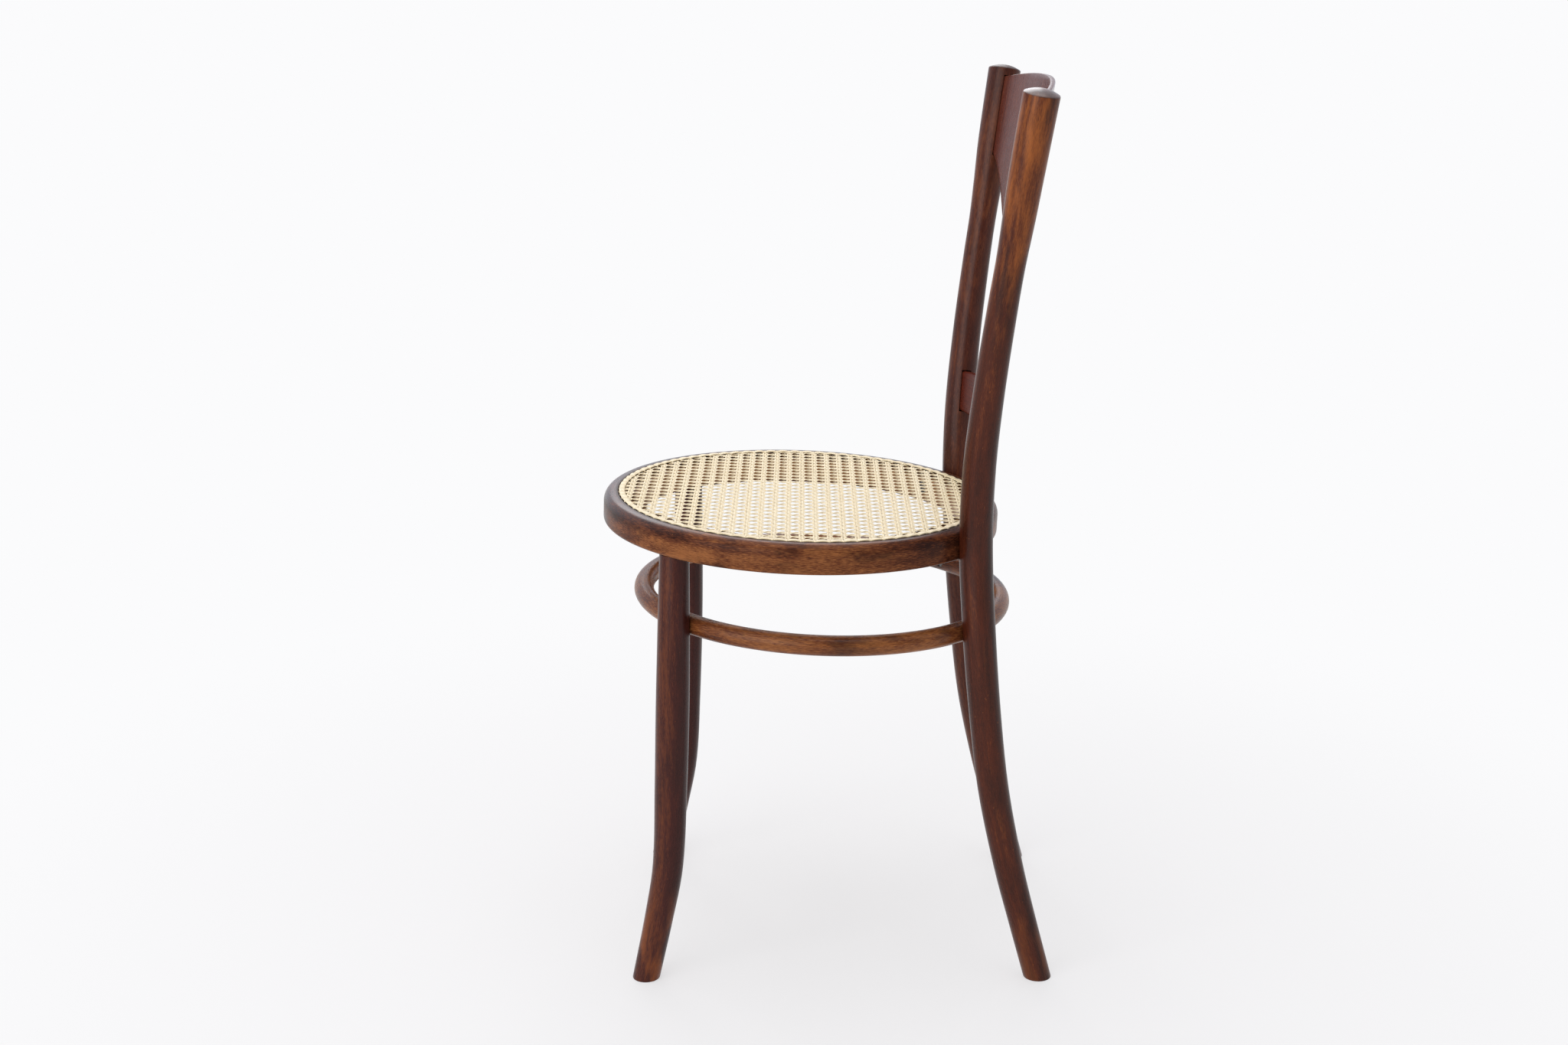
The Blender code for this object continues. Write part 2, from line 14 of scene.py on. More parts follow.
import bmesh
import bpy
import numpy as np
from mathutils import Matrix, Vector


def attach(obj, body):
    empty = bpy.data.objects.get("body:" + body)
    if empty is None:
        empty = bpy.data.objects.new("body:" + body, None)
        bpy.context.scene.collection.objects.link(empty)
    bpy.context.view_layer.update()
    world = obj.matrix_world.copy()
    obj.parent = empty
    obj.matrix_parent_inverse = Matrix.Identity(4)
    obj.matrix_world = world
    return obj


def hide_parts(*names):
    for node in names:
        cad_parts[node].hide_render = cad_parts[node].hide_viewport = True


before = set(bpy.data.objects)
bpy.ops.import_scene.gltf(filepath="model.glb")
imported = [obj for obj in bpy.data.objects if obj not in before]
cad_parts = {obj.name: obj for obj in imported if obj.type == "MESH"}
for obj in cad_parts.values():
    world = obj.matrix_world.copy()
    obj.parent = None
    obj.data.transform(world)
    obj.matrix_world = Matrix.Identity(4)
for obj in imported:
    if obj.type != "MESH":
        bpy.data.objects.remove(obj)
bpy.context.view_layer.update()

log = logging.getLogger("bentwood_chair")

Triple = tuple[float, float, float]
Piece = bpy.types.Object

TURN = math.tau
ORIGIN = (0, 0, 0)
UP = (0, 0, 1)
UPRIGHT = (math.pi / 2, 0, 0)
GRAIN = "grain"
FIT_GAP = 0.0003
WELD = 0.00001
SLIVER = 2 * WELD
CRISP_ANGLE = math.radians(38)
CANE_ANGLE = math.radians(60)
# A dark colour for dirt and painted shadow along the cane's binder, and for the posts' dark end grain.
DIRT_AND_SHADOW = (0.032, 0.014, 0.007)
BARE_WOOD = (0.36, 0.19, 0.085)
WHITE = (0.965, 0.965, 0.975)
# The value that noise wanders about.
MEAN = 0.5

# The seat plane: the ring's flat top, tipped down to the rear.
SEAT_CENTRE = Vector((0, -0.02574, 0.463))
SEAT_TILT = math.radians(2)
SEAT_TURN = Matrix.Rotation(-SEAT_TILT, 4, "X")
SEAT_PLACE = Matrix.Translation(SEAT_CENTRE) @ SEAT_TURN
CHAIR_HEIGHT = 0.880


def eased(share: float) -> float:
    """A share from 0 to 1 that starts and ends level."""
    return share * share * (3 - 2 * share)


class Side(Enum):
    """The sitter's side that a piece is on, with the sign of its x."""

    LEFT = 1
    RIGHT = -1

    @property
    def word(self) -> str:
        """The side's name as it stands in the names of pieces."""
        return self.name.lower()


class Axis(Enum):
    """The axes of a place, named for the grain of wood."""

    ACROSS = "X"
    THROUGH = "Y"
    ALONG = "Z"


class Signal:
    """An output of a shader node, with arithmetic that adds Math nodes."""

    def __init__(self, graph: "Graph", socket: bpy.types.NodeSocket) -> None:
        """Keep the output and the graph it is in."""
        self.graph = graph
        self.socket = socket

    def __add__(self, other: "Signal | float") -> "Signal":
        """This value plus another."""
        return self.graph.maths("ADD", self, other)

    __radd__ = __add__

    def __sub__(self, other: "Signal | float") -> "Signal":
        """This value less another."""
        return self.graph.maths("SUBTRACT", self, other)

    def __rsub__(self, other: float) -> "Signal":
        """A number less this value."""
        return self.graph.maths("SUBTRACT", other, self)

    def __mul__(self, other: "Signal | float") -> "Signal":
        """This value times another."""
        return self.graph.maths("MULTIPLY", self, other)

    __rmul__ = __mul__


class Graph:
    """The shader nodes of one material or of the world."""

    def __init__(self, tree: bpy.types.NodeTree) -> None:
        """Start on a node tree."""
        self.tree = tree

    def node(self, kind: str, settings: dict | None = None, inputs: dict | None = None,
             output: int | str = 0) -> Signal:
        """Add a node.

        Args:
            kind: The node's type.
            settings: Its own settings, set first; "stops" fills a colour ramp.
            inputs: Values or signals for its sockets, by place, name or identifier.
            output: Which output to hand on.

        Returns:
            The chosen output.
        """
        made = self.tree.nodes.new(kind)
        for name, value in (settings or {}).items():
            if name == "stops":
                self._fill_ramp(made.color_ramp, value)
            else:
                setattr(made, name, value)
        for key, value in (inputs or {}).items():
            if isinstance(key, int):
                socket = made.inputs[key]
            else:
                socket = next(found for found in made.inputs if key in (found.identifier, found.name))
            self.feed(socket, value)
        return Signal(self, made.outputs[output])

    def feed(self, socket: bpy.types.NodeSocket, value: "Signal | float | tuple") -> None:
        """Link a signal to a socket, or set the socket's own value.

        Args:
            socket: The input.
            value: The signal, number, vector or colour.
        """
        if isinstance(value, Signal):
            self.tree.links.new(value.socket, socket)
        elif socket.type == "RGBA":
            socket.default_value = (*value, 1)
        else:
            socket.default_value = value

    @staticmethod
    def _fill_ramp(ramp: bpy.types.ColorRamp, stops: list[tuple[float, Triple]]) -> None:
        """Give a colour ramp its stops.

        Args:
            ramp: The new ramp.
            stops: The place and colour of each stop.
        """
        while len(ramp.elements) < len(stops):
            ramp.elements.new(1.0)
        for element, (position, colour) in zip(ramp.elements, stops):
            element.position = position
            element.color = (*colour, 1)

    def maths(self, operation: str, first: "Signal | float", second: "Signal | float" = 0.0) -> Signal:
        """Add a Math node."""
        return self.node("ShaderNodeMath", {"operation": operation}, {0: first, 1: second})

    def blend(self, factor: Signal, first: "Signal | Triple", second: Triple) -> Signal:
        """Lay a second colour over a first by a factor."""
        inputs = {"Factor_Float": factor, "A_Color": first, "B_Color": second}
        return self.node("ShaderNodeMix", {"data_type": "RGBA"}, inputs, 2)

    def step(self, value: Signal, start: float, end: float, low: float = 0.0, high: float = 1.0) -> Signal:
        """Ease a value from low to high between a start and an end."""
        inputs = {"Value": value, "From Min": start, "From Max": end, "To Min": low, "To Max": high}
        return self.node("ShaderNodeMapRange", {"interpolation_type": "SMOOTHSTEP"}, inputs)

    def bump(self, height: Signal, strength: float, distance: float) -> Signal:
        """A normal that follows a height."""
        inputs = {"Strength": strength, "Distance": distance, "Height": height}
        return self.node("ShaderNodeBump", None, inputs)

    def grain(self) -> Signal:
        """Where each point lies in its wood or cane."""
        return self.node("ShaderNodeAttribute", {"attribute_name": GRAIN}, output="Vector")

    def place(self, kind: str = "Object") -> Signal:
        """Coordinates of a kind."""
        return self.node("ShaderNodeTexCoord", output=kind)

    def part(self, place: Signal, axis: Axis) -> Signal:
        """One axis of a place."""
        return self.node("ShaderNodeSeparateXYZ", None, {0: place}, axis.value)

    def ray(self, kind: str) -> Signal:
        """1 for rays of a kind, 0 for others."""
        return self.node("ShaderNodeLightPath", output=kind)


class Finish:
    """A surface finish, which makes one procedural material."""

    name: str

    def material(self) -> bpy.types.Material:
        """Make the material and let the finish set its nodes.

        Returns:
            The new material.
        """
        made = bpy.data.materials.new(self.name)
        made.use_nodes = True
        graph = Graph(made.node_tree)
        surface = made.node_tree.nodes["Principled BSDF"]
        for socket, value in self.surface(graph).items():
            graph.feed(surface.inputs[socket], value)
        return made

    def surface(self, graph: Graph) -> dict:
        """The values and signals of the surface shader's sockets, by name."""
        raise NotImplementedError


@dataclass(frozen=True)
class Noise:
    """Soft noise with its own cycles for each metre along each axis, eased from 0 to 1 if it has a rise."""

    scale: Triple
    detail: float
    rough: float = 0.5
    rise: tuple[float, float] | None = None

    def over(self, graph: Graph, place: Signal, stretch: float = 1.0) -> Signal:
        """Lay the noise over a surface.

        Args:
            graph: The material's nodes.
            place: The coordinates that it follows.
            stretch: How much longer it is along the grain.

        Returns:
            The noise.
        """
        across, through, along = self.scale
        scale = (across, through, along / stretch)
        scaled = graph.node("ShaderNodeVectorMath", {"operation": "MULTIPLY"}, {0: place, 1: scale})
        inputs = {"Vector": scaled, "Scale": 1.0, "Detail": self.detail, "Roughness": self.rough}
        value = graph.node("ShaderNodeTexNoise", None, inputs)
        return graph.step(value, *self.rise) if self.rise else value


CLOUD = Noise((16, 16, 4.5), 3)
PATCH = Noise((70, 70, 24), 2)
STREAK = Noise((260, 260, 9), 3)
DASH = Noise((1400, 1400, 180), 2, 0.6)
SMOKE = Noise((48, 48, 20), 4, 0.6, (0.50, 0.70))
WORN = Noise((230, 230, 10), 3, 0.5, (0.62, 0.78))
FLECK = Noise((420, 420, 300), 1, 0.5, (0.74, 0.80))
PORE = Noise((2400, 2400, 190), 1, 0.5, (0.58, 0.72))
RUBBED = Noise((55, 55, 20), 3, 0.5, (0.42, 0.60))
CANE_TINT = Noise((420, 0, 5), 2, 0.5, (0.3, 0.7))
CANE_FIBRE = Noise((4200, 900, 45), 2, 0.6)
CANE_MARK = Noise((600, 60, 75), 2, 0.5, (0.66, 0.78))
PLATING = Noise((600, 600, 600), 3)
SCRATCH = Noise((9000, 900, 2500), 2)


@dataclass(frozen=True)
class Band:
    """A share of the wood that is eased in between two places on one axis of its grain."""

    axis: Axis
    start: float
    end: float
    amount: float = 1.0
    both_ways: bool = False

    def weight(self, graph: Graph, grain: Signal) -> Signal:
        """Find how much of the band is at each point.

        Args:
            graph: The material's nodes.
            grain: The grain attribute.

        Returns:
            The band's amount inside it and 0 outside.
        """
        place = graph.part(grain, self.axis)
        if self.both_ways:
            place = graph.maths("ABSOLUTE", place)
        return graph.step(place, self.start, self.end, 0.0, self.amount)

    @staticmethod
    def product(bands: "tuple[Band, ...]", graph: Graph, grain: Signal) -> Signal:
        """Find the share of the wood that lies in all of several bands.

        Args:
            bands: The bands.
            graph: The material's nodes.
            grain: The grain attribute.

        Returns:
            The product of their weights.
        """
        share = bands[0].weight(graph, grain)
        for band in bands[1:]:
            share = share * band.weight(graph, grain)
        return share


# A post's dome, whose end grain is dark under a thicker lacquer, and the worn end of its foot.
CAP = Band(Axis.ALONG, 0.8749, 0.8757)
FOOT_RUB = Band(Axis.ALONG, 0.10, 0.03, 0.2)


@dataclass(frozen=True)
class StainedWood(Finish):
    """Stained, satin-lacquered wood whose grain runs along z of the grain attribute."""

    name: str
    deep: Triple
    middle: Triple
    glow: Triple
    tones: Triple = (0.22, 0.5, 0.80)
    cloud: float = 0.5
    patch: float = 0.5
    streak: float = 0.25
    dash: float = 0.5
    rings: float = 0.03
    ring_width: float = 0.0046
    ring_slant: float = 0.35
    ring_rise: float = 0.045
    ring_wander: float = 0.05
    smoke: float = 0.5
    wear: float = 0.3
    flecks: float = 0.4
    pores: float = 0.5
    stretch: float = 1.0
    lift: float = 0.0
    fade: Band | None = None
    fade_patch: float = 0.0
    # Painted shade: bands where the stain is darkened to stand in for shade.
    painted_shade: tuple[Band, ...] = ()
    rub: Band | None = None
    # Dirt, with painted shadow where the dark stands in for shade.
    dirt_and_shadow: tuple[Band, ...] = ()
    dirt_and_shadow_rough: float = 0.4
    bare: tuple[Band, ...] = ()
    polish: tuple[Band, ...] = ()
    polish_rough: float = 0.27
    relief: Triple = (0.5, -0.6, 0.5)
    bump: tuple[float, float] = (0.12, 0.0004)
    sheen: float = 0.28
    sheen_change: Triple = (0.12, 0.2, 0.1)
    gloss: float = 1.29
    plies: bool = False
    ply_edges: tuple = ((0.0006, 0.0009), (0.0015, 0.0011))
    ply_dark: float = 0.6

    def tone(self, graph: Graph, grain: Signal, patch: Signal, dash: Signal) -> Signal:
        """Find how far the stain is from deep to glowing, with painted shade taken off.

        Args:
            graph: The material's nodes.
            grain: The grain attribute.
            patch: The patches.
            dash: The dashes.

        Returns:
            The tone at each point.
        """
        across, through, along = (graph.part(grain, axis) for axis in Axis)
        cloud = CLOUD.over(graph, grain)
        streak = STREAK.over(graph, grain)
        years = across + through * self.ring_slant + along * self.ring_rise
        years = years + (cloud - MEAN) * self.ring_wander
        tone = 0.5 + self.lift + graph.maths("SINE", years * (TURN / self.ring_width)) * self.rings
        weights = (self.cloud, self.patch, self.streak, self.dash)
        for signal, weight in zip((cloud, patch, streak, dash), weights):
            tone = tone + (signal - MEAN) * weight
        if self.fade:
            tone = tone + self.fade.weight(graph, grain) * (1.0 + (patch - MEAN) * self.fade_patch)
        # Painted shade, taken off the tone.
        for band in self.painted_shade:
            tone = tone - band.weight(graph, grain)
        return tone

    def surface(self, graph: Graph) -> dict:
        """Lay smoky blotches, worn marks, flecks, pores, plies, and dirt with painted shadow over the stain.

        Args:
            graph: The material's nodes.

        Returns:
            The values and signals of the surface shader's sockets.
        """
        grain = graph.grain()
        patch = PATCH.over(graph, grain, self.stretch)
        dash = DASH.over(graph, grain)
        pores = PORE.over(graph, grain)
        rough_dash, rough_patch, rough_pores = self.sheen_change
        rough = self.sheen + (dash - MEAN) * rough_dash + (patch - MEAN) * rough_patch + pores * rough_pores
        layers = [(SMOKE.over(graph, grain, self.stretch) * self.smoke, self.deep),
                  (WORN.over(graph, grain) * self.wear, self.glow),
                  (FLECK.over(graph, grain) * self.flecks, self.glow)]
        if self.rub:
            layers.append((RUBBED.over(graph, grain) * self.rub.weight(graph, grain), self.glow))
        layers.append((pores * self.pores, self.deep))
        if self.bare:
            layers.append((Band.product(self.bare, graph, grain), BARE_WOOD))
        if self.plies:
            depth = graph.maths("ABSOLUTE", graph.part(grain, Axis.THROUGH))
            outer, inner = (graph.step(depth, *edge) for edge in self.ply_edges)
            layers.append((outer * inner * self.ply_dark, self.deep))
        # Dirt and painted shadow, which also roughen the lacquer.
        if self.dirt_and_shadow:
            dirt_and_shadow = Band.product(self.dirt_and_shadow, graph, grain)
            layers.append((dirt_and_shadow, DIRT_AND_SHADOW))
            rough = rough + dirt_and_shadow * self.dirt_and_shadow_rough
        stops = list(zip(self.tones, (self.deep, self.middle, self.glow)))
        stain = graph.node("ShaderNodeValToRGB", {"stops": stops}, {0: self.tone(graph, grain, patch, dash)})
        for factor, colour in layers:
            stain = graph.blend(factor, stain, colour)
        high_dash, high_pores, high_patch = self.relief
        bump = graph.bump(dash * high_dash + pores * high_pores + patch * high_patch, *self.bump)
        found = {"Base Color": stain, "Roughness": rough, "Normal": bump, "IOR": self.gloss}
        if self.polish:
            found["Coat Weight"] = Band.product(self.polish, graph, grain)
            found["Coat Roughness"] = self.polish_rough
        return found


@dataclass(frozen=True)
class Rattan(Finish):
    """Split rattan cane with a glossy skin and fine fibres along z of the grain attribute."""

    name: str
    pale: Triple = (0.800, 0.690, 0.475)
    straw: Triple = (0.710, 0.575, 0.350)
    brown: Triple = (0.300, 0.165, 0.060)
    fibre_rise: tuple[float, float] = (0.5, 0.75)
    fibres: float = 0.4
    marks: float = 0.45
    bump: tuple[float, float] = (0.2, 0.0002)
    sheen: float = 0.34
    sheen_change: float = 0.2

    def surface(self, graph: Graph) -> dict:
        """Each strand's own tint, fibre lines and a few darker marks.

        Args:
            graph: The material's nodes.

        Returns:
            The values and signals of the surface shader's sockets.
        """
        grain = graph.grain()
        fibre = CANE_FIBRE.over(graph, grain)
        cane = graph.blend(CANE_TINT.over(graph, grain), self.pale, self.straw)
        cane = graph.blend(graph.step(fibre, *self.fibre_rise) * self.fibres, cane, self.straw)
        cane = graph.blend(CANE_MARK.over(graph, grain) * self.marks, cane, self.brown)
        rough = self.sheen + fibre * self.sheen_change
        return {"Base Color": cane, "Roughness": rough, "Normal": graph.bump(fibre, *self.bump)}


@dataclass(frozen=True)
class DullSteel(Finish):
    """Zinc-plated steel, dulled and finely scratched."""

    name: str
    bright: Triple = (0.21, 0.20, 0.19)
    dull: Triple = (0.09, 0.085, 0.08)
    dull_rise: tuple[float, float] = (0.4, 0.65)
    bump: tuple[float, float] = (0.2, 0.0001)
    sheen: float = 0.40
    sheen_change: float = 0.2

    def surface(self, graph: Graph) -> dict:
        """Patches of dull plating and fine scratches.

        Args:
            graph: The material's nodes.

        Returns:
            The values and signals of the surface shader's sockets.
        """
        place = graph.place()
        plating = PLATING.over(graph, place)
        steel = graph.blend(graph.step(plating, *self.dull_rise), self.bright, self.dull)
        bump = graph.bump(SCRATCH.over(graph, place), *self.bump)
        rough = self.sheen + plating * self.sheen_change
        return {"Base Color": steel, "Metallic": 1.0, "Roughness": rough, "Normal": bump}


@dataclass(frozen=True)
class PaleFloor(Finish):
    """A matt, pale floor that fades to white with distance and keeps soft shadows."""

    name: str = "pale_floor"
    colour: Triple = (0.85, 0.845, 0.855)
    near_white: Triple = (0.90, 0.893, 0.905)
    fade: float = 1.2
    haze: float = 0.6
    sheen: float = 0.9

    def surface(self, graph: Graph) -> dict:
        """A plain matt colour."""
        return {"Base Color": self.colour, "Roughness": self.sheen, "Specular IOR Level": 0.0}

    def material(self) -> bpy.types.Material:
        """Mix white into the floor, as the camera and gloss see it.

        Returns:
            The new material.
        """
        made = super().material()
        graph = Graph(made.node_tree)
        reach = graph.node("ShaderNodeVectorMath", {"operation": "LENGTH"}, {0: graph.place()}, "Value")
        far = graph.step(reach, 0.0, self.fade)
        seen = graph.ray("Is Camera Ray") + graph.ray("Is Glossy Ray")
        share = (self.haze + far * (1 - self.haze)) * seen
        haze = graph.blend(far, self.near_white, WHITE)
        white = graph.node("ShaderNodeEmission", None, {"Color": haze, "Strength": 1.0})
        matt = Signal(graph, made.node_tree.nodes["Principled BSDF"].outputs[0])
        mixed = graph.node("ShaderNodeMixShader", None, {0: share, 1: matt, 2: white})
        graph.feed(made.node_tree.nodes["Material Output"].inputs["Surface"], mixed)
        return made


@dataclass(frozen=True)
class Station:
    """One cross-section of a swept piece: its centre, its radius and how far it leans to +X and +Y."""

    centre: Vector
    radius: float
    lean_x: float = 0.0
    lean_y: float = 0.0


@dataclass(frozen=True)
class RingSection:
    """A ring's four-sided section: its radii, its heights and the rounding of its corners.

    The rounds are those of the top outer, foot outer, foot inner and top inner corners.
    """

    inner: float
    outer: float
    foot: float
    top: float
    rounds: tuple[float, float, float, float]
    segments: int = 8

    def corners(self) -> list[Triple]:
        """The radius, height and rounding of each corner."""
        radii = (self.outer, self.outer, self.inner, self.inner)
        return list(zip(radii, (self.top, self.foot, self.foot, self.top), self.rounds))

    def grown(self, gap: float) -> "RingSection":
        """The same section, larger by a gap on every side."""
        sizes = (self.inner - gap, self.outer + gap, self.foot - gap, self.top + gap)
        return RingSection(*sizes, tuple(radius + gap for radius in self.rounds), self.segments)


class Bench:
    """The bench where pieces are modelled one at a time with Blender's operators."""

    @staticmethod
    def take(piece: Piece) -> None:
        """Make a piece the only selected one.

        Args:
            piece: The piece to work on.
        """
        bpy.ops.object.select_all(action="DESELECT")
        piece.select_set(True)
        bpy.context.view_layer.objects.active = piece

    @staticmethod
    def settle() -> None:
        """Keep the selected piece's place in its mesh."""
        bpy.ops.object.transform_apply(location=True, rotation=True, scale=True)

    @staticmethod
    def add(name: str, primitive: Callable[..., set], **settings: object) -> Piece:
        """Add a primitive, with its place in its mesh.

        Args:
            name: The piece's name.
            primitive: The operator that adds it.
            settings: The operator's settings.

        Returns:
            The piece.
        """
        bpy.ops.object.select_all(action="DESELECT")
        primitive(**settings)
        piece = bpy.context.object
        piece.name = name
        piece.data.name = name
        Bench.settle()
        return piece

    @staticmethod
    def linked(name: str, data: bpy.types.ID) -> Piece:
        """Make an object of some data and show it.

        Args:
            name: The object's name.
            data: Its curve, camera or lamp.

        Returns:
            The object.
        """
        made = bpy.data.objects.new(name, data)
        bpy.context.collection.objects.link(made)
        return made

    @staticmethod
    @contextmanager
    def editing(piece: Piece) -> Iterator[None]:
        """Hold a piece in edit mode, with all of it selected.

        Args:
            piece: The piece to edit.

        Returns:
            A context that leaves edit mode at its end.
        """
        Bench.take(piece)
        bpy.ops.object.mode_set(mode="EDIT")
        bpy.ops.mesh.select_all(action="SELECT")
        yield
        bpy.ops.object.mode_set(mode="OBJECT")

    @staticmethod
    def pick_point(piece: Piece, place: Vector) -> None:
        """In edit mode, select only the points at a place.

        Args:
            piece: The piece in edit mode.
            place: Where the points are.
        """
        bpy.ops.mesh.select_all(action="DESELECT")
        bpy.ops.mesh.select_mode(type="VERT")
        mesh = bmesh.from_edit_mesh(piece.data)
        for point in mesh.verts:
            point.select = (point.co - place).length < WELD
        mesh.select_flush_mode()
        bmesh.update_edit_mesh(piece.data)

    @staticmethod
    def spin(steps: int, angle: float = TURN, copies: bool = False) -> None:
        """In edit mode, spin the selection about the Z axis."""
        bpy.ops.mesh.spin(steps=steps, angle=angle, dupli=copies, center=ORIGIN, axis=UP)

    @staticmethod
    def weld(piece: Piece, gap: float = WELD, fill: bool = False) -> None:
        """Merge doubled points and turn all faces outwards.

        Args:
            piece: The piece.
            gap: How far apart the merged points may be.
            fill: Whether holes are closed too.
        """
        with Bench.editing(piece):
            bpy.ops.mesh.remove_doubles(threshold=gap)
            bpy.ops.mesh.select_all(action="SELECT")
            if fill:
                bpy.ops.mesh.fill_holes(sides=0)
                bpy.ops.mesh.select_all(action="SELECT")
            bpy.ops.mesh.normals_make_consistent(inside=False)

    @staticmethod
    def place(piece: Piece, matrix: Matrix) -> None:
        """Move a piece and keep its new place in its mesh.

        Args:
            piece: The piece.
            matrix: The move.
        """
        Bench.take(piece)
        piece.matrix_world = matrix
        Bench.settle()

    @staticmethod
    def copied(piece: Piece, name: str, matrix: Matrix) -> Piece:
        """Copy a piece, with its own mesh, to another place.

        Args:
            piece: The piece to copy.
            name: The copy's name.
            matrix: The copy's move.

        Returns:
            The copy.
        """
        Bench.take(piece)
        bpy.ops.object.duplicate(linked=False)
        copy = bpy.context.object
        copy.name = name
        copy.data.name = name
        Bench.place(copy, matrix)
        return copy

    @staticmethod
    def smooth(piece: Piece, angle: float = CRISP_ANGLE) -> None:
        """Shade a piece smooth, except over edges sharper than an angle."""
        Bench.take(piece)
        bpy.ops.object.shade_smooth_by_angle(angle=angle)

    @staticmethod
    def modify(piece: Piece, kind: str, **settings: object) -> None:
        """Add a modifier and apply it.

        Args:
            piece: The piece.
            kind: The modifier's type.
            settings: The modifier's settings.
        """
        modifier = piece.modifiers.new(kind, kind)
        for name, value in settings.items():
            setattr(modifier, name, value)
        Bench.take(piece)
        bpy.ops.object.modifier_apply(modifier=modifier.name)

    @staticmethod
    def cut(piece: Piece, *tools: Piece) -> None:
        """Cut the shapes of tools out of a piece."""
        for tool in tools:
            Bench.modify(piece, "BOOLEAN", operation="DIFFERENCE", solver="EXACT", object=tool)

    @staticmethod
    def carve(piece: Piece, *tools: Piece) -> None:
        """Cut tools out of a piece one by one, and close its mesh after each.

        A cut into a mesh that is still open can fail and leave the tool standing in it.

        Args:
            piece: The piece.
            tools: The shapes to cut out.
        """
        for tool in tools:
            Bench.cut(piece, tool)
            Bench.weld(piece, SLIVER, True)

    @staticmethod
    def discard(*pieces: Piece) -> None:
        """Remove tools that are no longer needed."""
        for piece in pieces:
            bpy.data.objects.remove(piece)

    @staticmethod
    def lean(to_x: float, to_y: float, centre: Vector) -> None:
        """In edit mode, lean the selection towards +X and +Y about a centre.

        With no window, rotate turns the other way, which the signs here allow for.

        Args:
            to_x: Angle towards +X.
            to_y: Angle towards +Y.
            centre: The point that stays.
        """
        if to_y:
            bpy.ops.transform.rotate(value=to_y, orient_axis="X", center_override=centre)
        if to_x:
            bpy.ops.transform.rotate(value=-to_x, orient_axis="Y", center_override=centre)

    @staticmethod
    def sweep(piece: Piece, stations: list[Station]) -> None:
        """Extrude a flat face at the first station through all the others.

        Args:
            piece: A piece that is one flat, level face.
            stations: The cross-sections in order.
        """
        with Bench.editing(piece):
            first = stations[0]
            Bench.lean(first.lean_x, first.lean_y, first.centre)
            for below, station in zip(stations, stations[1:]):
                step = station.centre - below.centre
                bpy.ops.mesh.extrude_region_move(TRANSFORM_OT_translate={"value": step})
                Bench.lean(station.lean_x - below.lean_x, station.lean_y - below.lean_y, station.centre)
                ratio = station.radius / below.radius
                bpy.ops.transform.resize(value=(ratio, ratio, ratio), center_override=station.centre)
        Bench.weld(piece)

    @staticmethod
    def swept(name: str, stations: list[Station], sides: int) -> Piece:
        """Model a round rod through its stations.

        Args:
            name: The piece's name.
            stations: Its cross-sections from end to end.
            sides: How many sides it has.

        Returns:
            The closed rod.
        """
        first = stations[0]
        piece = Bench.add(name, bpy.ops.mesh.primitive_circle_add, vertices=sides, radius=first.radius,
                          fill_type="NGON", location=first.centre)
        Bench.sweep(piece, stations)
        return piece

    @staticmethod
    def spun_ring(name: str, section: RingSection, steps: int) -> Piece:
        """Model a ring by rounding a flat section's corners and spinning it about the Z axis.

        Args:
            name: The piece's name.
            section: The ring's section.
            steps: How many steps go round it.

        Returns:
            The closed ring, centred on the origin.
        """
        middle = Vector(((section.inner + section.outer) / 2, 0, (section.foot + section.top) / 2))
        size = (section.outer - section.inner, 1, section.top - section.foot)
        piece = Bench.add(name, bpy.ops.mesh.primitive_plane_add, size=1, rotation=UPRIGHT, location=middle)
        with Bench.editing(piece):
            bpy.ops.transform.resize(value=size, center_override=middle)
            for x, z, radius in section.corners():
                Bench.pick_point(piece, Vector((x, 0, z)))
                bpy.ops.mesh.bevel(offset=radius, segments=section.segments, affect="VERTICES")
            bpy.ops.mesh.select_all(action="SELECT")
            bpy.ops.mesh.delete(type="ONLY_FACE")
            bpy.ops.mesh.select_all(action="SELECT")
            Bench.spin(steps)
        Bench.weld(piece)
        return piece

    @staticmethod
    def repeat_round(piece: Piece, count: int) -> None:
        """Copy a piece's shape evenly round the Z axis within its mesh."""
        with Bench.editing(piece):
            Bench.spin(count - 1, TURN * (count - 1) / count, True)

    @staticmethod
    def curve(name: str, lines: list[list], section: bool = False) -> Piece:
        """Lay straight-sided lines in one curve.

        Args:
            name: The curve's name.
            lines: The points of each line.
            section: Whether they are the flat, closed outline of a section.

        Returns:
            The curve's object.
        """
        curve = bpy.data.curves.new(name, "CURVE")
        curve.dimensions = "2D" if section else "3D"
        for line in lines:
            spline = curve.splines.new("POLY")
            spline.points.add(len(line) - 1)
            for point, place in zip(spline.points, line):
                point.co = (*place, 1)
            spline.use_cyclic_u = section
        return Bench.linked(name, curve)

    @staticmethod
    def points(piece: Piece) -> np.ndarray:
        """Read the places of a piece's points.

        Args:
            piece: The piece.

        Returns:
            One place in each row.
        """
        found = np.empty(len(piece.data.vertices) * 3)
        piece.data.vertices.foreach_get("co", found)
        return found.reshape(-1, 3)

    @staticmethod
    def mark_grain(piece: Piece, grain: np.ndarray, domain: str = "POINT") -> None:
        """Store where each point lies in its wood or cane: across, through and along the grain."""
        attribute = piece.data.attributes.new(GRAIN, "FLOAT_VECTOR", domain)
        attribute.data.foreach_set("vector", grain.astype(np.float32).ravel())

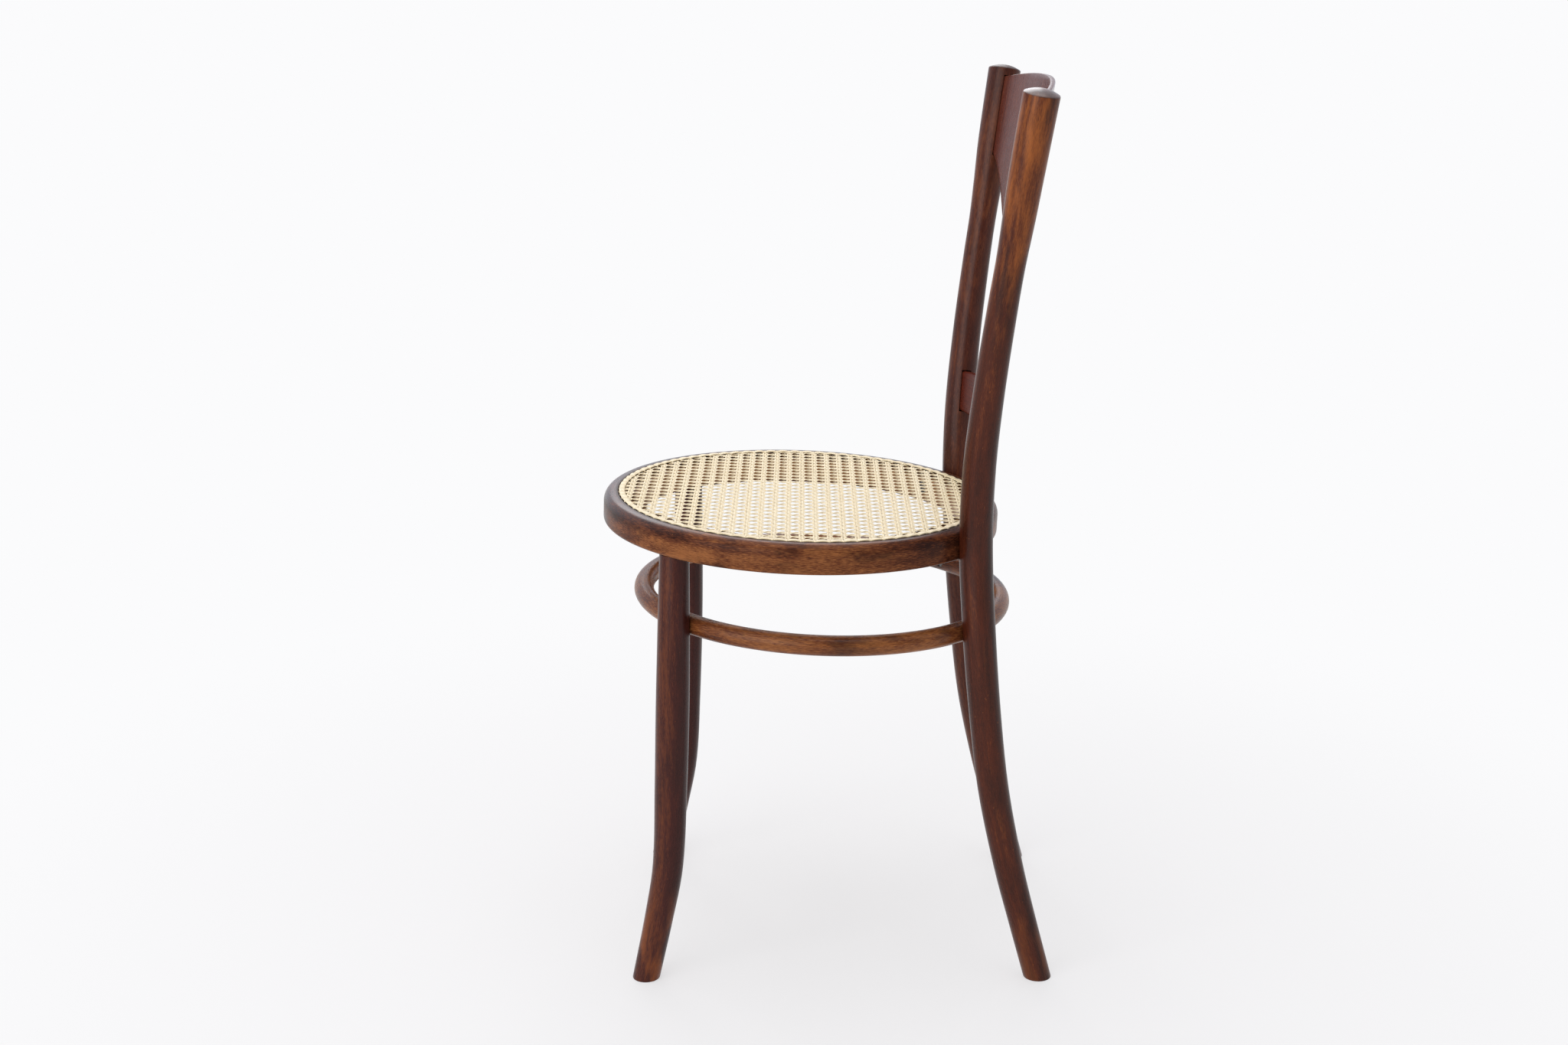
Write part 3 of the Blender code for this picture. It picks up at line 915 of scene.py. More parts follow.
    @staticmethod
    def mark_round_grain(piece: Piece, place: Matrix, radius: float, middle: float) -> None:
        """Store the grain of a bent ring, which runs round it.

        Args:
            piece: The ring.
            place: Where the ring's centre and plane are.
            radius: The radius whose arc measures the length along the grain.
            middle: The angle of the middle of its length, opposite the place where its ends meet.
        """
        back = np.array((Matrix.Rotation(-middle, 4, "Z") @ place.inverted()).to_3x3())
        local = (Bench.points(piece) - np.array(place.translation)) @ back.T
        angle = np.arctan2(local[:, 1], local[:, 0])
        flat = np.hypot(local[:, 0], local[:, 1]) - radius
        rows = []
        for face in piece.data.polygons:
            corners = list(face.vertices)
            turns = angle[corners]
            if turns.max() - turns.min() > math.pi:
                turns = np.where(turns < 0, turns + TURN, turns)
            rows.append(np.column_stack((flat[corners], local[corners, 2], turns * radius)))
        Bench.mark_grain(piece, np.concatenate(rows), "CORNER")

    @staticmethod
    def enter(piece: Piece, material: bpy.types.Material, slot: str, *nodes: str) -> None:
        """Dress a finished piece, hang it from the root body, hide the CAD nodes that it stands for and log
        its faces.

        Args:
            piece: The piece.
            material: Its material.
            slot: A material slot's name, which is not used.
            nodes: The CAD nodes that it stands for.
        """
        piece.data.materials.clear()
        piece.data.materials.append(material)
        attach(piece, "root")
        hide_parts(*nodes)
        log.info("%s: %d faces", piece.name, len(piece.data.polygons))


class Bend:
    """A rod's smooth bend through knots of height, x, y and diameter."""

    probe = 0.001

    def __init__(self, knots: list[tuple[float, float, float, float]]) -> None:
        """Keep the knots, lowest first."""
        self.knots = knots

    def _slope(self, index: int, value: int) -> float:
        """Find how fast one value changes with height at a knot.

        Args:
            index: Which knot.
            value: The value's place in it.

        Returns:
            The change for each metre.
        """
        below = self.knots[max(index - 1, 0)]
        above = self.knots[min(index + 1, len(self.knots) - 1)]
        return (above[value] - below[value]) / (above[0] - below[0])

    def at(self, height: float) -> Triple:
        """Find the bend at a height.

        Args:
            height: Metres above the floor.

        Returns:
            x, y and diameter there.
        """
        passed = sum(knot[0] <= height for knot in self.knots)
        index = min(max(passed - 1, 0), len(self.knots) - 2)
        low = self.knots[index]
        high = self.knots[index + 1]
        span = high[0] - low[0]
        t = (height - low[0]) / span
        found = []
        for value in (1, 2, 3):
            rise_in = self._slope(index, value)
            rise_out = self._slope(index + 1, value)
            if t < 0:
                found.append(low[value] + rise_in * (height - low[0]))
            elif t > 1:
                found.append(high[value] + rise_out * (height - high[0]))
            else:
                lead = t * (1 - t) ** 2 * span * rise_in + t * t * (t - 1) * span * rise_out
                found.append(low[value] * (1 - eased(t)) + high[value] * eased(t) + lead)
        return tuple(found)

    def station(self, height: float, radius: float | None = None) -> Station:
        """Find the rod's cross-section at a height, square to the bend.

        Args:
            height: Metres above the floor.
            radius: Its radius, where it isn't the bend's own.

        Returns:
            The cross-section.
        """
        x, y, diameter = self.at(height)
        low = self.at(height - self.probe)
        high = self.at(height + self.probe)
        lean_x, lean_y = (math.atan((high[axis] - low[axis]) / (2 * self.probe)) for axis in (0, 1))
        return Station(Vector((x, y, height)), radius or diameter / 2, lean_x, lean_y)

    def mark_grain(self, piece: Piece, side: Side, start: float) -> None:
        """Store a rod's grain, straightened along its bend.

        Args:
            piece: The rod.
            side: Which side of the chair it is on.
            start: Where across the pattern its wood lies.
        """
        places = Bench.points(piece)
        stations = [self.station(height) for height in places[:, 2]]
        middles = np.array([(side.value * station.centre.x, station.centre.y) for station in stations])
        leans = np.array([(side.value * station.lean_x, station.lean_y) for station in stations])
        offsets = places[:, :2] - middles
        along = places[:, 2] + (offsets * np.tan(leans)).sum(axis=1)
        Bench.mark_grain(piece, np.column_stack((offsets[:, 0] + start, offsets[:, 1], along)))


RING = RingSection(0.162, 0.200, -0.029, 0.0, (0.010, 0.004, 0.003, 0.014))


@dataclass
class SeatRing:
    """The bent seat ring with its circle of cane holes."""

    steps: int = 180
    hole_count: int = 86
    hole_radius: float = 0.0021
    hole_circle: float = 0.1812
    drill_sides: int = 10
    drill_length: float = 0.05
    rebate: RingSection = RingSection(0.150, 0.1858, -0.0014, 0.010, (0.001, 0.0006, 0.001, 0.001), 3)
    chamfer_from: float = 0.1785
    chamfer_slope: float = math.radians(20)
    chamfer_depth: float = 0.010
    grain_middle: float = math.radians(127.5) + math.pi
    finish: Finish = StainedWood(
        "ring_wood", (0.027, 0.008, 0.005), (0.112, 0.032, 0.013), (0.282, 0.104, 0.035),
        cloud=0.7, patch=0.8, streak=0.3, dash=1.1, rings=0.02, smoke=0.75, wear=0.2, lift=-0.12,
        fade=Band(Axis.ALONG, -0.07, 0.10, 0.32), gloss=1.18,
        # Painted shade: darker from the near post round the back, and darker towards the top of the outer
        # face.
        painted_shade=(Band(Axis.ALONG, 0.24, 0.36, 0.15), Band(Axis.THROUGH, -0.017, -0.006, 0.17)),
        # Dirt and painted shadow on the top, along the binder and in the bed under it.
        dirt_and_shadow=(Band(Axis.ACROSS, -0.0105, -0.0130, 0.9), Band(Axis.ACROSS, -0.0190, -0.0165),
              Band(Axis.THROUGH, -0.004, -0.002)),
        bare=(Band(Axis.ACROSS, -0.0195, -0.0215, 0.9), Band(Axis.THROUGH, -0.029, -0.022)),
        polish=(Band(Axis.THROUGH, -0.010, -0.003, 0.5), Band(Axis.ALONG, 0.12, -0.05),
                Band(Axis.ACROSS, -0.0142, -0.0132)))

    def cutter(self) -> Piece:
        """Model a ring with room to spare, for cutting notches that it fits into.

        Returns:
            The ring in its place.
        """
        tool = Bench.spun_ring("ring_cutter", RING.grown(FIT_GAP), self.steps)
        Bench.place(tool, SEAT_PLACE)
        return tool

    def build(self) -> Piece:
        """Model the ring, sink its bed for the cane, ease its inner edge and drill its holes.

        Returns:
            The ring in its place.
        """
        ring = Bench.spun_ring("bent_seat_ring", RING, self.steps)
        drill = Bench.add("cane_hole_drill", bpy.ops.mesh.primitive_cylinder_add, vertices=self.drill_sides,
                          radius=self.hole_radius, depth=self.drill_length,
                          location=(self.hole_circle, 0, RING.foot / 2))
        Bench.repeat_round(drill, self.hole_count)
        bed = Bench.spun_ring("cane_bed_cutter", self.rebate, self.steps)
        narrow = self.chamfer_from - self.chamfer_depth / math.tan(self.chamfer_slope)
        chamfer = Bench.add("chamfer_cutter", bpy.ops.mesh.primitive_cone_add, vertices=self.steps,
                            radius1=narrow, radius2=self.chamfer_from, depth=self.chamfer_depth,
                            location=(0, 0, self.rebate.foot - self.chamfer_depth / 2))
        Bench.carve(ring, bed, chamfer, drill)
        Bench.discard(bed, chamfer, drill)
        Bench.place(ring, SEAT_PLACE)
        return ring

    def dress(self, ring: Piece) -> None:
        """Give the finished ring its grain, shading and stain.

        Args:
            ring: The drilled ring.
        """
        Bench.smooth(ring)
        Bench.mark_round_grain(ring, SEAT_PLACE, RING.outer, self.grain_middle)
        Bench.enter(ring, self.finish.material(), "ring_wood", "seat_ring")


class Run(Enum):
    """The ways that cane strands run, with the direction of each in the seat plane."""

    LENGTHWISE = (0.0, 1.0)
    CROSSWISE = (1.0, 0.0)
    RISING = (math.sqrt(0.5), math.sqrt(0.5))
    FALLING = (math.sqrt(0.5), -math.sqrt(0.5))

    @property
    def diagonal(self) -> bool:
        """Whether the strands cross the chair's axes at an angle."""
        return 0.0 not in self.value

    @property
    def axes(self) -> tuple[Vector, Vector]:
        """The directions along the run and square to it."""
        along = Vector((*self.value, 0))
        return along, Vector((abs(along.y), along.x if self is not Run.RISING else -along.x, 0))


@dataclass
class CaneSeat:
    """The hand-woven cane: pairs both ways, diagonals, a binder, its ties and the stitches below."""

    pitch: float = 0.0133
    shift: float = 0.63
    rows: int = 20
    half_pair: float = 0.00125
    width: float = 0.0020
    diagonal_width: float = 0.0015
    thickness: float = 0.0005
    outline: tuple = ((-0.86, -1.0), (-1.0, -0.1), (-0.58, 0.76), (0.0, 1.0), (0.58, 0.76), (1.0, -0.1),
                      (0.86, -1.0))
    snap: float = 2.2
    level: float = -0.00020
    edge: float = 0.1814
    dip_from: float = 0.1765
    dip: float = 0.0022
    reach: float = 0.1768
    phases: tuple[float, ...] = (-0.5, -0.33, -0.20, -0.094, 0.0, 0.094, 0.20, 0.33)
    end_steps: tuple[float, ...] = (0.0, 0.0015, 0.003, 0.0045)
    end_gap: float = 0.0004
    loose: float = 0.00012
    binder: RingSection = RingSection(0.1792, 0.1846, -0.0008, 0.0003, (0.0007, 0.0003, 0.0003, 0.0007), 4)
    binder_steps: int = 688
    swell: float = 0.0003
    arch: float = 0.0009
    tie_count: int = 86
    tie_size: tuple[float, float] = (0.0004, 0.0022)
    tie_route: tuple[Triple, ...] = (
        (0.1854, -0.0016, 0), (0.1853, -0.0007, -12), (0.1848, 0.0001, -50), (0.1837, 0.0005, -80),
        (0.1818, 0.0006, -90), (0.1799, 0.0005, -100), (0.1788, 0.0001, -130), (0.1782, -0.0008, -165),
        (0.1781, -0.0016, -180))
    stitch_size: tuple[float, float] = (0.0023, 0.0007)
    stitch_gap: float = 0.0004
    stitch_turn: tuple[Triple, ...] = ((0.0, 0.006, 180), (0.0002, 0.0006, 170), (0.0011, -0.0004, 115),
                                       (0.0026, -0.0007, 92))
    strap_round: float = 0.0002
    finish: Finish = Rattan("cane")
    draws: random.Random = field(default_factory=lambda: random.Random(11))

    @property
    def slip(self) -> Vector:
        """How far the weave's middle lies from the ring's."""
        return Vector((self.shift * self.pitch, 0, 0))

    def wave(self, run: Run, mate: int, travel: float) -> float:
        """Find how far a strand rises over or dips under those that it crosses.

        Args:
            run: Which way the strand runs.
            mate: -1 or 1 for the two strands of a pair, 0 for a diagonal.
            travel: How many pitches along x or y, from a pair's middle.

        Returns:
            Height over the weave's middle.
        """
        if run.diagonal:
            swing = math.tanh(self.snap * math.cos(TURN * travel)) / math.tanh(self.snap)
            return self.thickness * swing * (1 if run is Run.FALLING else -1)
        phase = (travel + 0.5) % 1 - 0.5
        ratio = phase * self.pitch / self.half_pair
        hump = ratio * math.exp((1 - ratio * ratio) / 2)
        return self.thickness / 2 * hump * mate * (1 if run is Run.CROSSWISE else -1)

    def offsets(self, run: Run) -> list[tuple[float, int]]:
        """Find where the strands of one run lie in the weave.

        Args:
            run: Which way they run.

        Returns:
            Each strand's distance from the weave's middle, square to it, and its place in its pair.
        """
        aside = run.axes[1].dot(self.slip)
        found = []
        for index in range(-self.rows, self.rows):
            if run.diagonal:
                found.append(((index + 0.5) * self.pitch * math.sqrt(0.5), 0))
            else:
                found.extend((index * self.pitch + mate * self.half_pair, mate) for mate in (-1, 1))
        return [(offset, mate) for offset, mate in found if abs(offset + aside) < self.reach]

    def strand_points(self, run: Run, offset: float, mate: int) -> list[Vector]:
        """Find the points along one strand in the seat plane.

        Args:
            run: Which way it runs.
            offset: Where it lies in the weave, square to its run.
            mate: Its place in its pair.

        Returns:
            The points from end to end.
        """
        along, square = run.axes
        aside = offset + square.dot(self.slip)
        half = math.sqrt(self.edge ** 2 - aside ** 2)
        limit = half - self.end_steps[-1] - self.end_gap
        travels = [half - step for step in self.end_steps] + [step - half for step in self.end_steps]
        for index in range(-self.rows, self.rows + 1):
            for phase in self.phases:
                travel = (index + phase) * self.pitch
                if run.diagonal:
                    travel = travel * math.sqrt(2) - offset
                travel += along.dot(self.slip)
                if abs(travel) < limit:
                    travels.append(travel)
        aside += self.draws.uniform(-self.loose, self.loose)
        points = []
        for travel in sorted(travels):
            place = along * travel + square * aside
            count = (place.y if run is Run.LENGTHWISE else place.x - self.slip.x) / self.pitch
            t = min(max((place.length - self.dip_from) / (self.edge - self.dip_from), 0), 1)
            place.z = self.level + self.wave(run, mate, count) - self.dip * eased(t)
            points.append(place)
        return points

    def build_run(self, run: Run) -> Piece:
        """Weave all strands of one run, each a flat, domed section along its points.

        Args:
            run: Which way they run.

        Returns:
            The strands in their place, as one piece.
        """
        width = self.diagonal_width if run.diagonal else self.width
        outline = [(x * width / 2, y * self.thickness / 2, 0) for x, y in self.outline]
        section = Bench.curve("strand_section", [outline], True)
        strands = [self.strand_points(run, offset, mate) for offset, mate in self.offsets(run)]
        piece = Bench.curve("cane_" + run.name.lower(), strands)
        piece.data.twist_mode = "Z_UP"
        piece.data.bevel_mode = "OBJECT"
        piece.data.bevel_object = section
        piece.data.use_fill_caps = True
        Bench.take(piece)
        bpy.ops.object.convert(target="MESH")
        piece = bpy.context.object
        Bench.discard(section)
        Bench.weld(piece)
        places = Bench.points(piece)
        x, y = run.value
        length = places[:, :2] @ np.array((x, y))
        across = places[:, :2] @ np.array((y, -x))
        Bench.mark_grain(piece, np.column_stack((across, places[:, 2], length)))
        Bench.place(piece, SEAT_PLACE)
        return piece

    def straps(self, name: str, size: tuple[float, float], stations: list[Station], count: int) -> Piece:
        """Model a short flat strap of cane along stations, and copy it all round the seat.

        Args:
            name: The piece's name.
            size: Its section's size along X and Y.
            stations: Where it runs.
            count: How many straps there are.

        Returns:
            All straps as one piece.
        """
        start = stations[0].centre
        piece = Bench.add(name, bpy.ops.mesh.primitive_plane_add, size=1, location=start)
        with Bench.editing(piece):
            bpy.ops.transform.resize(value=(*size, 1), center_override=start)
        Bench.sweep(piece, stations)
        Bench.modify(piece, "BEVEL", width=self.strap_round, segments=1, limit_method="ANGLE")
        Bench.repeat_round(piece, count)
        return piece

    def build_binder(self) -> Piece:
        """Model the strip over the strands' ends, which arches up between its ties.

        Returns:
            The strip.
        """
        binder = Bench.spun_ring("cane_binder_strip", self.binder, self.binder_steps)
        middle = (self.binder.inner + self.binder.outer) / 2
        for point in binder.data.vertices:
            flat = point.co.xy
            free = abs(math.sin(math.atan2(flat.y, flat.x) * self.tie_count / 2))
            side = 1 if flat.length > middle else -1
            flat *= 1 + side * self.swell * free / flat.length
            point.co = (flat.x, flat.y, point.co.z + self.arch * free)
        return binder

    def build_ties(self) -> Piece:
        """Model the loops that tie the binder down at every hole.

        Returns:
            All loops as one piece.
        """
        stations = [Station(Vector((radius, 0, z)), 1.0, math.radians(lean))
                    for radius, z, lean in self.tie_route]
        return self.straps("binder_ties", self.tie_size, stations, self.tie_count)

    def build_stitches(self, ring: SeatRing) -> Piece:
        """Model the stitches from hole to hole under the ring.

        Args:
            ring: The ring that the stitches run under.

        Returns:
            All stitches as one piece.
        """
        half = math.pi * ring.hole_circle / ring.hole_count - self.stitch_gap
        route = [(-half + y, z, lean) for y, z, lean in self.stitch_turn]
        route += [(-y, z, 180 - lean) for y, z, lean in reversed(route)]
        stations = [Station(Vector((ring.hole_circle, y, RING.foot + z)), 1.0, 0.0, math.radians(lean))
                    for y, z, lean in route]
        stitches = self.straps("cane_stitches", self.stitch_size, stations, ring.hole_count)
        Bench.place(stitches, Matrix.Rotation(math.pi / ring.hole_count, 4, "Z"))
        return stitches

    def build(self, ring: SeatRing) -> dict[str, list[Piece]]:
        """Weave the seat.

        Args:
            ring: The ring that carries it.

        Returns:
            The pieces, by the CAD node that they stand for.
        """
        net = [self.build_run(run) for run in Run]
        border = [self.build_binder(), self.build_ties(), self.build_stitches(ring)]
        for piece in border:
            Bench.place(piece, SEAT_PLACE)
            Bench.mark_round_grain(piece, SEAT_PLACE, self.edge, 0.0)
        return {"cane_net": net, "cane_binder": border}

    def dress(self, pieces: dict[str, list[Piece]]) -> None:
        """Give all cane its shading and its finish.

        Args:
            pieces: The pieces by node.
        """
        cane = self.finish.material()
        for node, group in pieces.items():
            for piece in group:
                Bench.smooth(piece, CANE_ANGLE)
                Bench.enter(piece, cane, "cane", node)


@dataclass
class LegHoop:
    """The bent hoop that ties the legs together."""

    centre: Vector = Vector((0, -0.00435, 0.360))
    radius: float = 0.18247
    thickness: float = 0.020
    steps: int = 160
    sides: int = 28
    grain_middle: float = math.radians(-130)
    finish: Finish = StainedWood(
        "hoop_wood", (0.027, 0.008, 0.005), (0.140, 0.039, 0.013), (0.320, 0.118, 0.034),
        cloud=0.8, patch=0.7, streak=0.3, dash=0.9, rings=0.02, smoke=0.6, wear=0.25, lift=0.13,
        # Painted shade on the arc by the far rear post, under the seat.
        painted_shade=(Band(Axis.ALONG, -0.46, -0.41, 0.38), Band(Axis.ALONG, -0.28, -0.22, -0.38)))

    @property
    def place(self) -> Matrix:
        """Where the hoop's centre and plane are."""
        return Matrix.Translation(self.centre) @ SEAT_TURN

    def solid(self, name: str, grow: float = 0.0) -> Piece:
        """Model the hoop by spinning a circle.

        Args:
            name: The piece's name.
            grow: How much thicker it is all round.

        Returns:
            The hoop in its place.
        """
        piece = Bench.add(name, bpy.ops.mesh.primitive_circle_add, vertices=self.sides,
                          radius=self.thickness / 2 + grow, location=(self.radius, 0, 0), rotation=UPRIGHT)
        with Bench.editing(piece):
            Bench.spin(self.steps)
        Bench.weld(piece)
        Bench.place(piece, self.place)
        return piece

    def dress(self, hoop: Piece) -> None:
        """Give the finished hoop its grain, shading and stain.

        Args:
            hoop: The drilled hoop.
        """
        Bench.smooth(hoop)
        Bench.mark_round_grain(hoop, self.place, self.radius, self.grain_middle)
        Bench.enter(hoop, self.finish.material(), "hoop_wood", "leg_hoop")


class BentRods:
    """A pair of bent rods, alike on both sides of the chair.

    Each row of below and above is one knot of the bend: its share of the height from the floor to the
    joint, or from the joint to the top, how far it is out and back from the joint, and its diameter.
    """

    name: str
    node: str
    slot: str
    angle: float
    reach: float
    joint_rise: float
    joint_diameter: float
    below: tuple
    above: tuple = ()
    steps: int
    sides: int = 44
    spare: float = 0.02
    foot_round: float = 0.0012
    grain_starts: tuple[float, float]
    finish: Finish
    right_finish: Finish | None = None

    def bend(self) -> Bend:
        """Find the bend of the rod on the sitter's left.

        Returns:
            The bend from the floor up.
        """
        x = self.reach * math.cos(self.angle)
        y = self.reach * math.sin(self.angle)
        joint = SEAT_CENTRE.z - y * math.tan(SEAT_TILT) + self.joint_rise
        y += SEAT_CENTRE.y
        rows = [(share * joint, *row) for share, *row in self.below]
        rows.append((joint, 0.0, 0.0, self.joint_diameter))
        rows += [(joint + share * (CHAIR_HEIGHT - joint), *row) for share, *row in self.above]
        return Bend([(height, x + out, y + back, diameter) for height, out, back, diameter in rows])

    def stations(self, top: float) -> list[Station]:
        """Find the cross-sections of the left rod, from a little below the floor to a top.

        Args:
            top: The height of the last one.

        Returns:
            The cross-sections in order.
        """
        bend = self.bend()
        heights = np.arange(self.steps + 1) * (top + self.spare) / self.steps - self.spare
        return [bend.station(float(height)) for height in heights]

    def sawn(self, stations: list[Station]) -> Piece:
        """Model the left rod, sawn off at the floor with its edge eased.

        Args:
            stations: Its cross-sections.

        Returns:
            The rod.
        """
        rod = Bench.swept(self.name + "_left", stations, self.sides)
        with Bench.editing(rod):
            bpy.ops.mesh.bisect(plane_co=ORIGIN, plane_no=UP, clear_inner=True, use_fill=True)
            bpy.ops.mesh.bevel(offset=self.foot_round, segments=3, affect="EDGES")
        return rod

    def paired(self, rod: Piece, tools: list[Piece]) -> dict[Side, Piece]:
        """Cut what is let into the left rod, and mirror it.

        Args:
            rod: The left rod.
            tools: The shapes that are let into it.

        Returns:
            The rods by side.
        """
        Bench.cut(rod, *tools)
        Bench.weld(rod)
        right = Bench.copied(rod, self.name + "_right", Matrix.Diagonal((-1, 1, 1, 1)))
        Bench.weld(right)
        return {Side.LEFT: rod, Side.RIGHT: right}

    def dress(self, rods: dict[Side, Piece]) -> None:
        """Give the rods their grain, shading and stain.

        Args:
            rods: The rods by side.
        """
        bend = self.bend()
        left = self.finish.material()
        right = self.right_finish.material() if self.right_finish else left
        for side, start, wood in zip(Side, self.grain_starts, (left, right)):
            Bench.smooth(rods[side])
            bend.mark_grain(rods[side], side, start)
            Bench.enter(rods[side], wood, self.slot, self.node + "_" + side.word)


@dataclass
class RearPosts(BentRods):
    """The two rear posts, each one bent rod from the foot to its domed top."""

    name: str = "post"
    node: str = "rear_post"
    slot: str = "post_wood"
    angle: float = math.radians(52.5)
    notch: float = 0.004
    joint_rise: float = RING.foot / 2
    joint_diameter: float = 0.0325
    below: tuple = ((0.00, 0.0195, 0.0700, 0.0268), (0.14, 0.0185, 0.0530, 0.0275),
                    (0.27, 0.0170, 0.0380, 0.0288), (0.45, 0.0145, 0.0215, 0.0303),
                    (0.63, 0.0110, 0.0115, 0.0312), (0.81, 0.0070, 0.0045, 0.0322))
    above: tuple = ((0.18, 0.0060, 0.0010, 0.0315), (0.36, 0.0180, 0.0075, 0.0297),
                    (0.55, 0.0285, 0.0175, 0.0284), (0.64, 0.0335, 0.0230, 0.0280),
                    (0.73, 0.0390, 0.0285, 0.0303), (0.82, 0.0445, 0.0335, 0.0325),
                    (1.00, 0.0555, 0.0450, 0.0340))
    dome: float = 0.0054
    dome_steps: tuple = ((0.995, 0.0004), (0.985, 0.0008), (0.965, 0.0013), (0.90, 0.00183), (0.80, 0.00258),
                         (0.65, 0.00354), (0.50, 0.0043), (0.35, 0.00486), (0.20, 0.00522), (0.05, 0.0054))
    steps: int = 64
    grain_starts: tuple[float, float] = (0.0, 0.74)
    finish: Finish = StainedWood(
        "post_wood", (0.027, 0.007, 0.004), (0.080, 0.016, 0.006), (0.305, 0.089, 0.019),
        cloud=0.33, patch=0.36, streak=0.27, dash=0.38, smoke=0.68, wear=0.1, stretch=1.6, lift=-0.055,
        fade=Band(Axis.ALONG, 0.50, 0.80, 0.19), fade_patch=2.2,
        # Painted shade towards both sides, darker still on the rear (+Y) side.
        painted_shade=(Band(Axis.THROUGH, 0.004, 0.016, 0.05, True), Band(Axis.THROUGH, -0.004, 0.014, 0.08)),
        rub=FOOT_RUB, dirt_and_shadow=(replace(CAP, amount=0.6),), polish=(replace(CAP, amount=0.85),))
    right_finish: Finish = StainedWood(
        "dark_post_wood", (0.026, 0.008, 0.006), (0.071, 0.018, 0.010), (0.200, 0.060, 0.020),
        cloud=0.4, patch=0.35, dash=0.45, smoke=0.45, wear=0.15,
        rub=FOOT_RUB, dirt_and_shadow=(replace(CAP, amount=0.6),), polish=(replace(CAP, amount=0.3),))

    @property
    def reach(self) -> float:
        """How far the joint is from the middle of the ring."""
        return RING.outer + self.joint_diameter / 2 - self.notch

    def build(self, tools: list[Piece]) -> dict[Side, Piece]:
        """Model the posts, with domed tops.

        Args:
            tools: The shapes that are let into the left post.

        Returns:
            The posts by side.
        """
        bend = self.bend()
        shoulder = CHAIR_HEIGHT - self.dome
        stations = self.stations(shoulder)
        radius = stations[-1].radius
        stations += [bend.station(shoulder + rise, radius * share) for share, rise in self.dome_steps]
        return self.paired(self.sawn(stations), tools)


@dataclass
class FrontLegs(BentRods):
    """The two bent front legs, tenoned into the ring."""

    name: str = "leg"
    node: str = "front_leg"
    slot: str = "leg_wood"
    angle: float = math.radians(-41.5)
    inset: float = 0.0165
    joint_rise: float = RING.foot
    joint_diameter: float = 0.029
    tenon_diameter: float = 0.018
    tenon_length: float = 0.018
    below: tuple = ((0.00, 0.0165, -0.0330, 0.0268), (0.14, 0.0135, -0.0200, 0.0283),
                    (0.27, 0.0105, -0.0100, 0.0303), (0.46, 0.0085, -0.0060, 0.0322),
                    (0.64, 0.0070, -0.0035, 0.0330), (0.82, 0.0055, -0.0015, 0.0315))
    steps: int = 44
    grain_starts: tuple[float, float] = (1.12, 0.54)
    finish: Finish = StainedWood(
        "leg_wood", (0.023, 0.006, 0.005), (0.053, 0.011, 0.008), (0.185, 0.050, 0.014),
        cloud=0.25, patch=0.2, streak=0.2, dash=0.4, smoke=0.35, wear=0.2, lift=0.05,
        # Painted shade, darker towards the rear (+Y) side.
        painted_shade=(Band(Axis.THROUGH, -0.006, 0.014, 0.18),), rub=Band(Axis.ALONG, 0.11, 0.03))

    @property
    def reach(self) -> float:
        """How far the joint is from the middle of the ring."""
        return RING.outer - self.inset

    def build(self, tools: list[Piece]) -> dict[Side, Piece]:
        """Model the legs, each sawn to the ring's underside with a tenon left standing.

        Args:
            tools: The shapes that are let into the left leg.

        Returns:
            The legs by side.
        """
        top, x, y, _ = self.bend().knots[-1]
        leg = self.sawn(self.stations(top + self.spare))
        normal = SEAT_TURN.to_3x3() @ Vector(UP)
        with Bench.editing(leg):
            bpy.ops.mesh.bisect(plane_co=Vector((x, y, top)) - normal * FIT_GAP, plane_no=normal,
                                clear_outer=True, use_fill=True)
            bpy.ops.mesh.select_mode(type="FACE")
            bpy.ops.mesh.inset(thickness=(self.joint_diameter - self.tenon_diameter) / 2)
            bpy.ops.mesh.extrude_region_move(TRANSFORM_OT_translate={"value": normal * self.tenon_length})
        return self.paired(leg, tools)


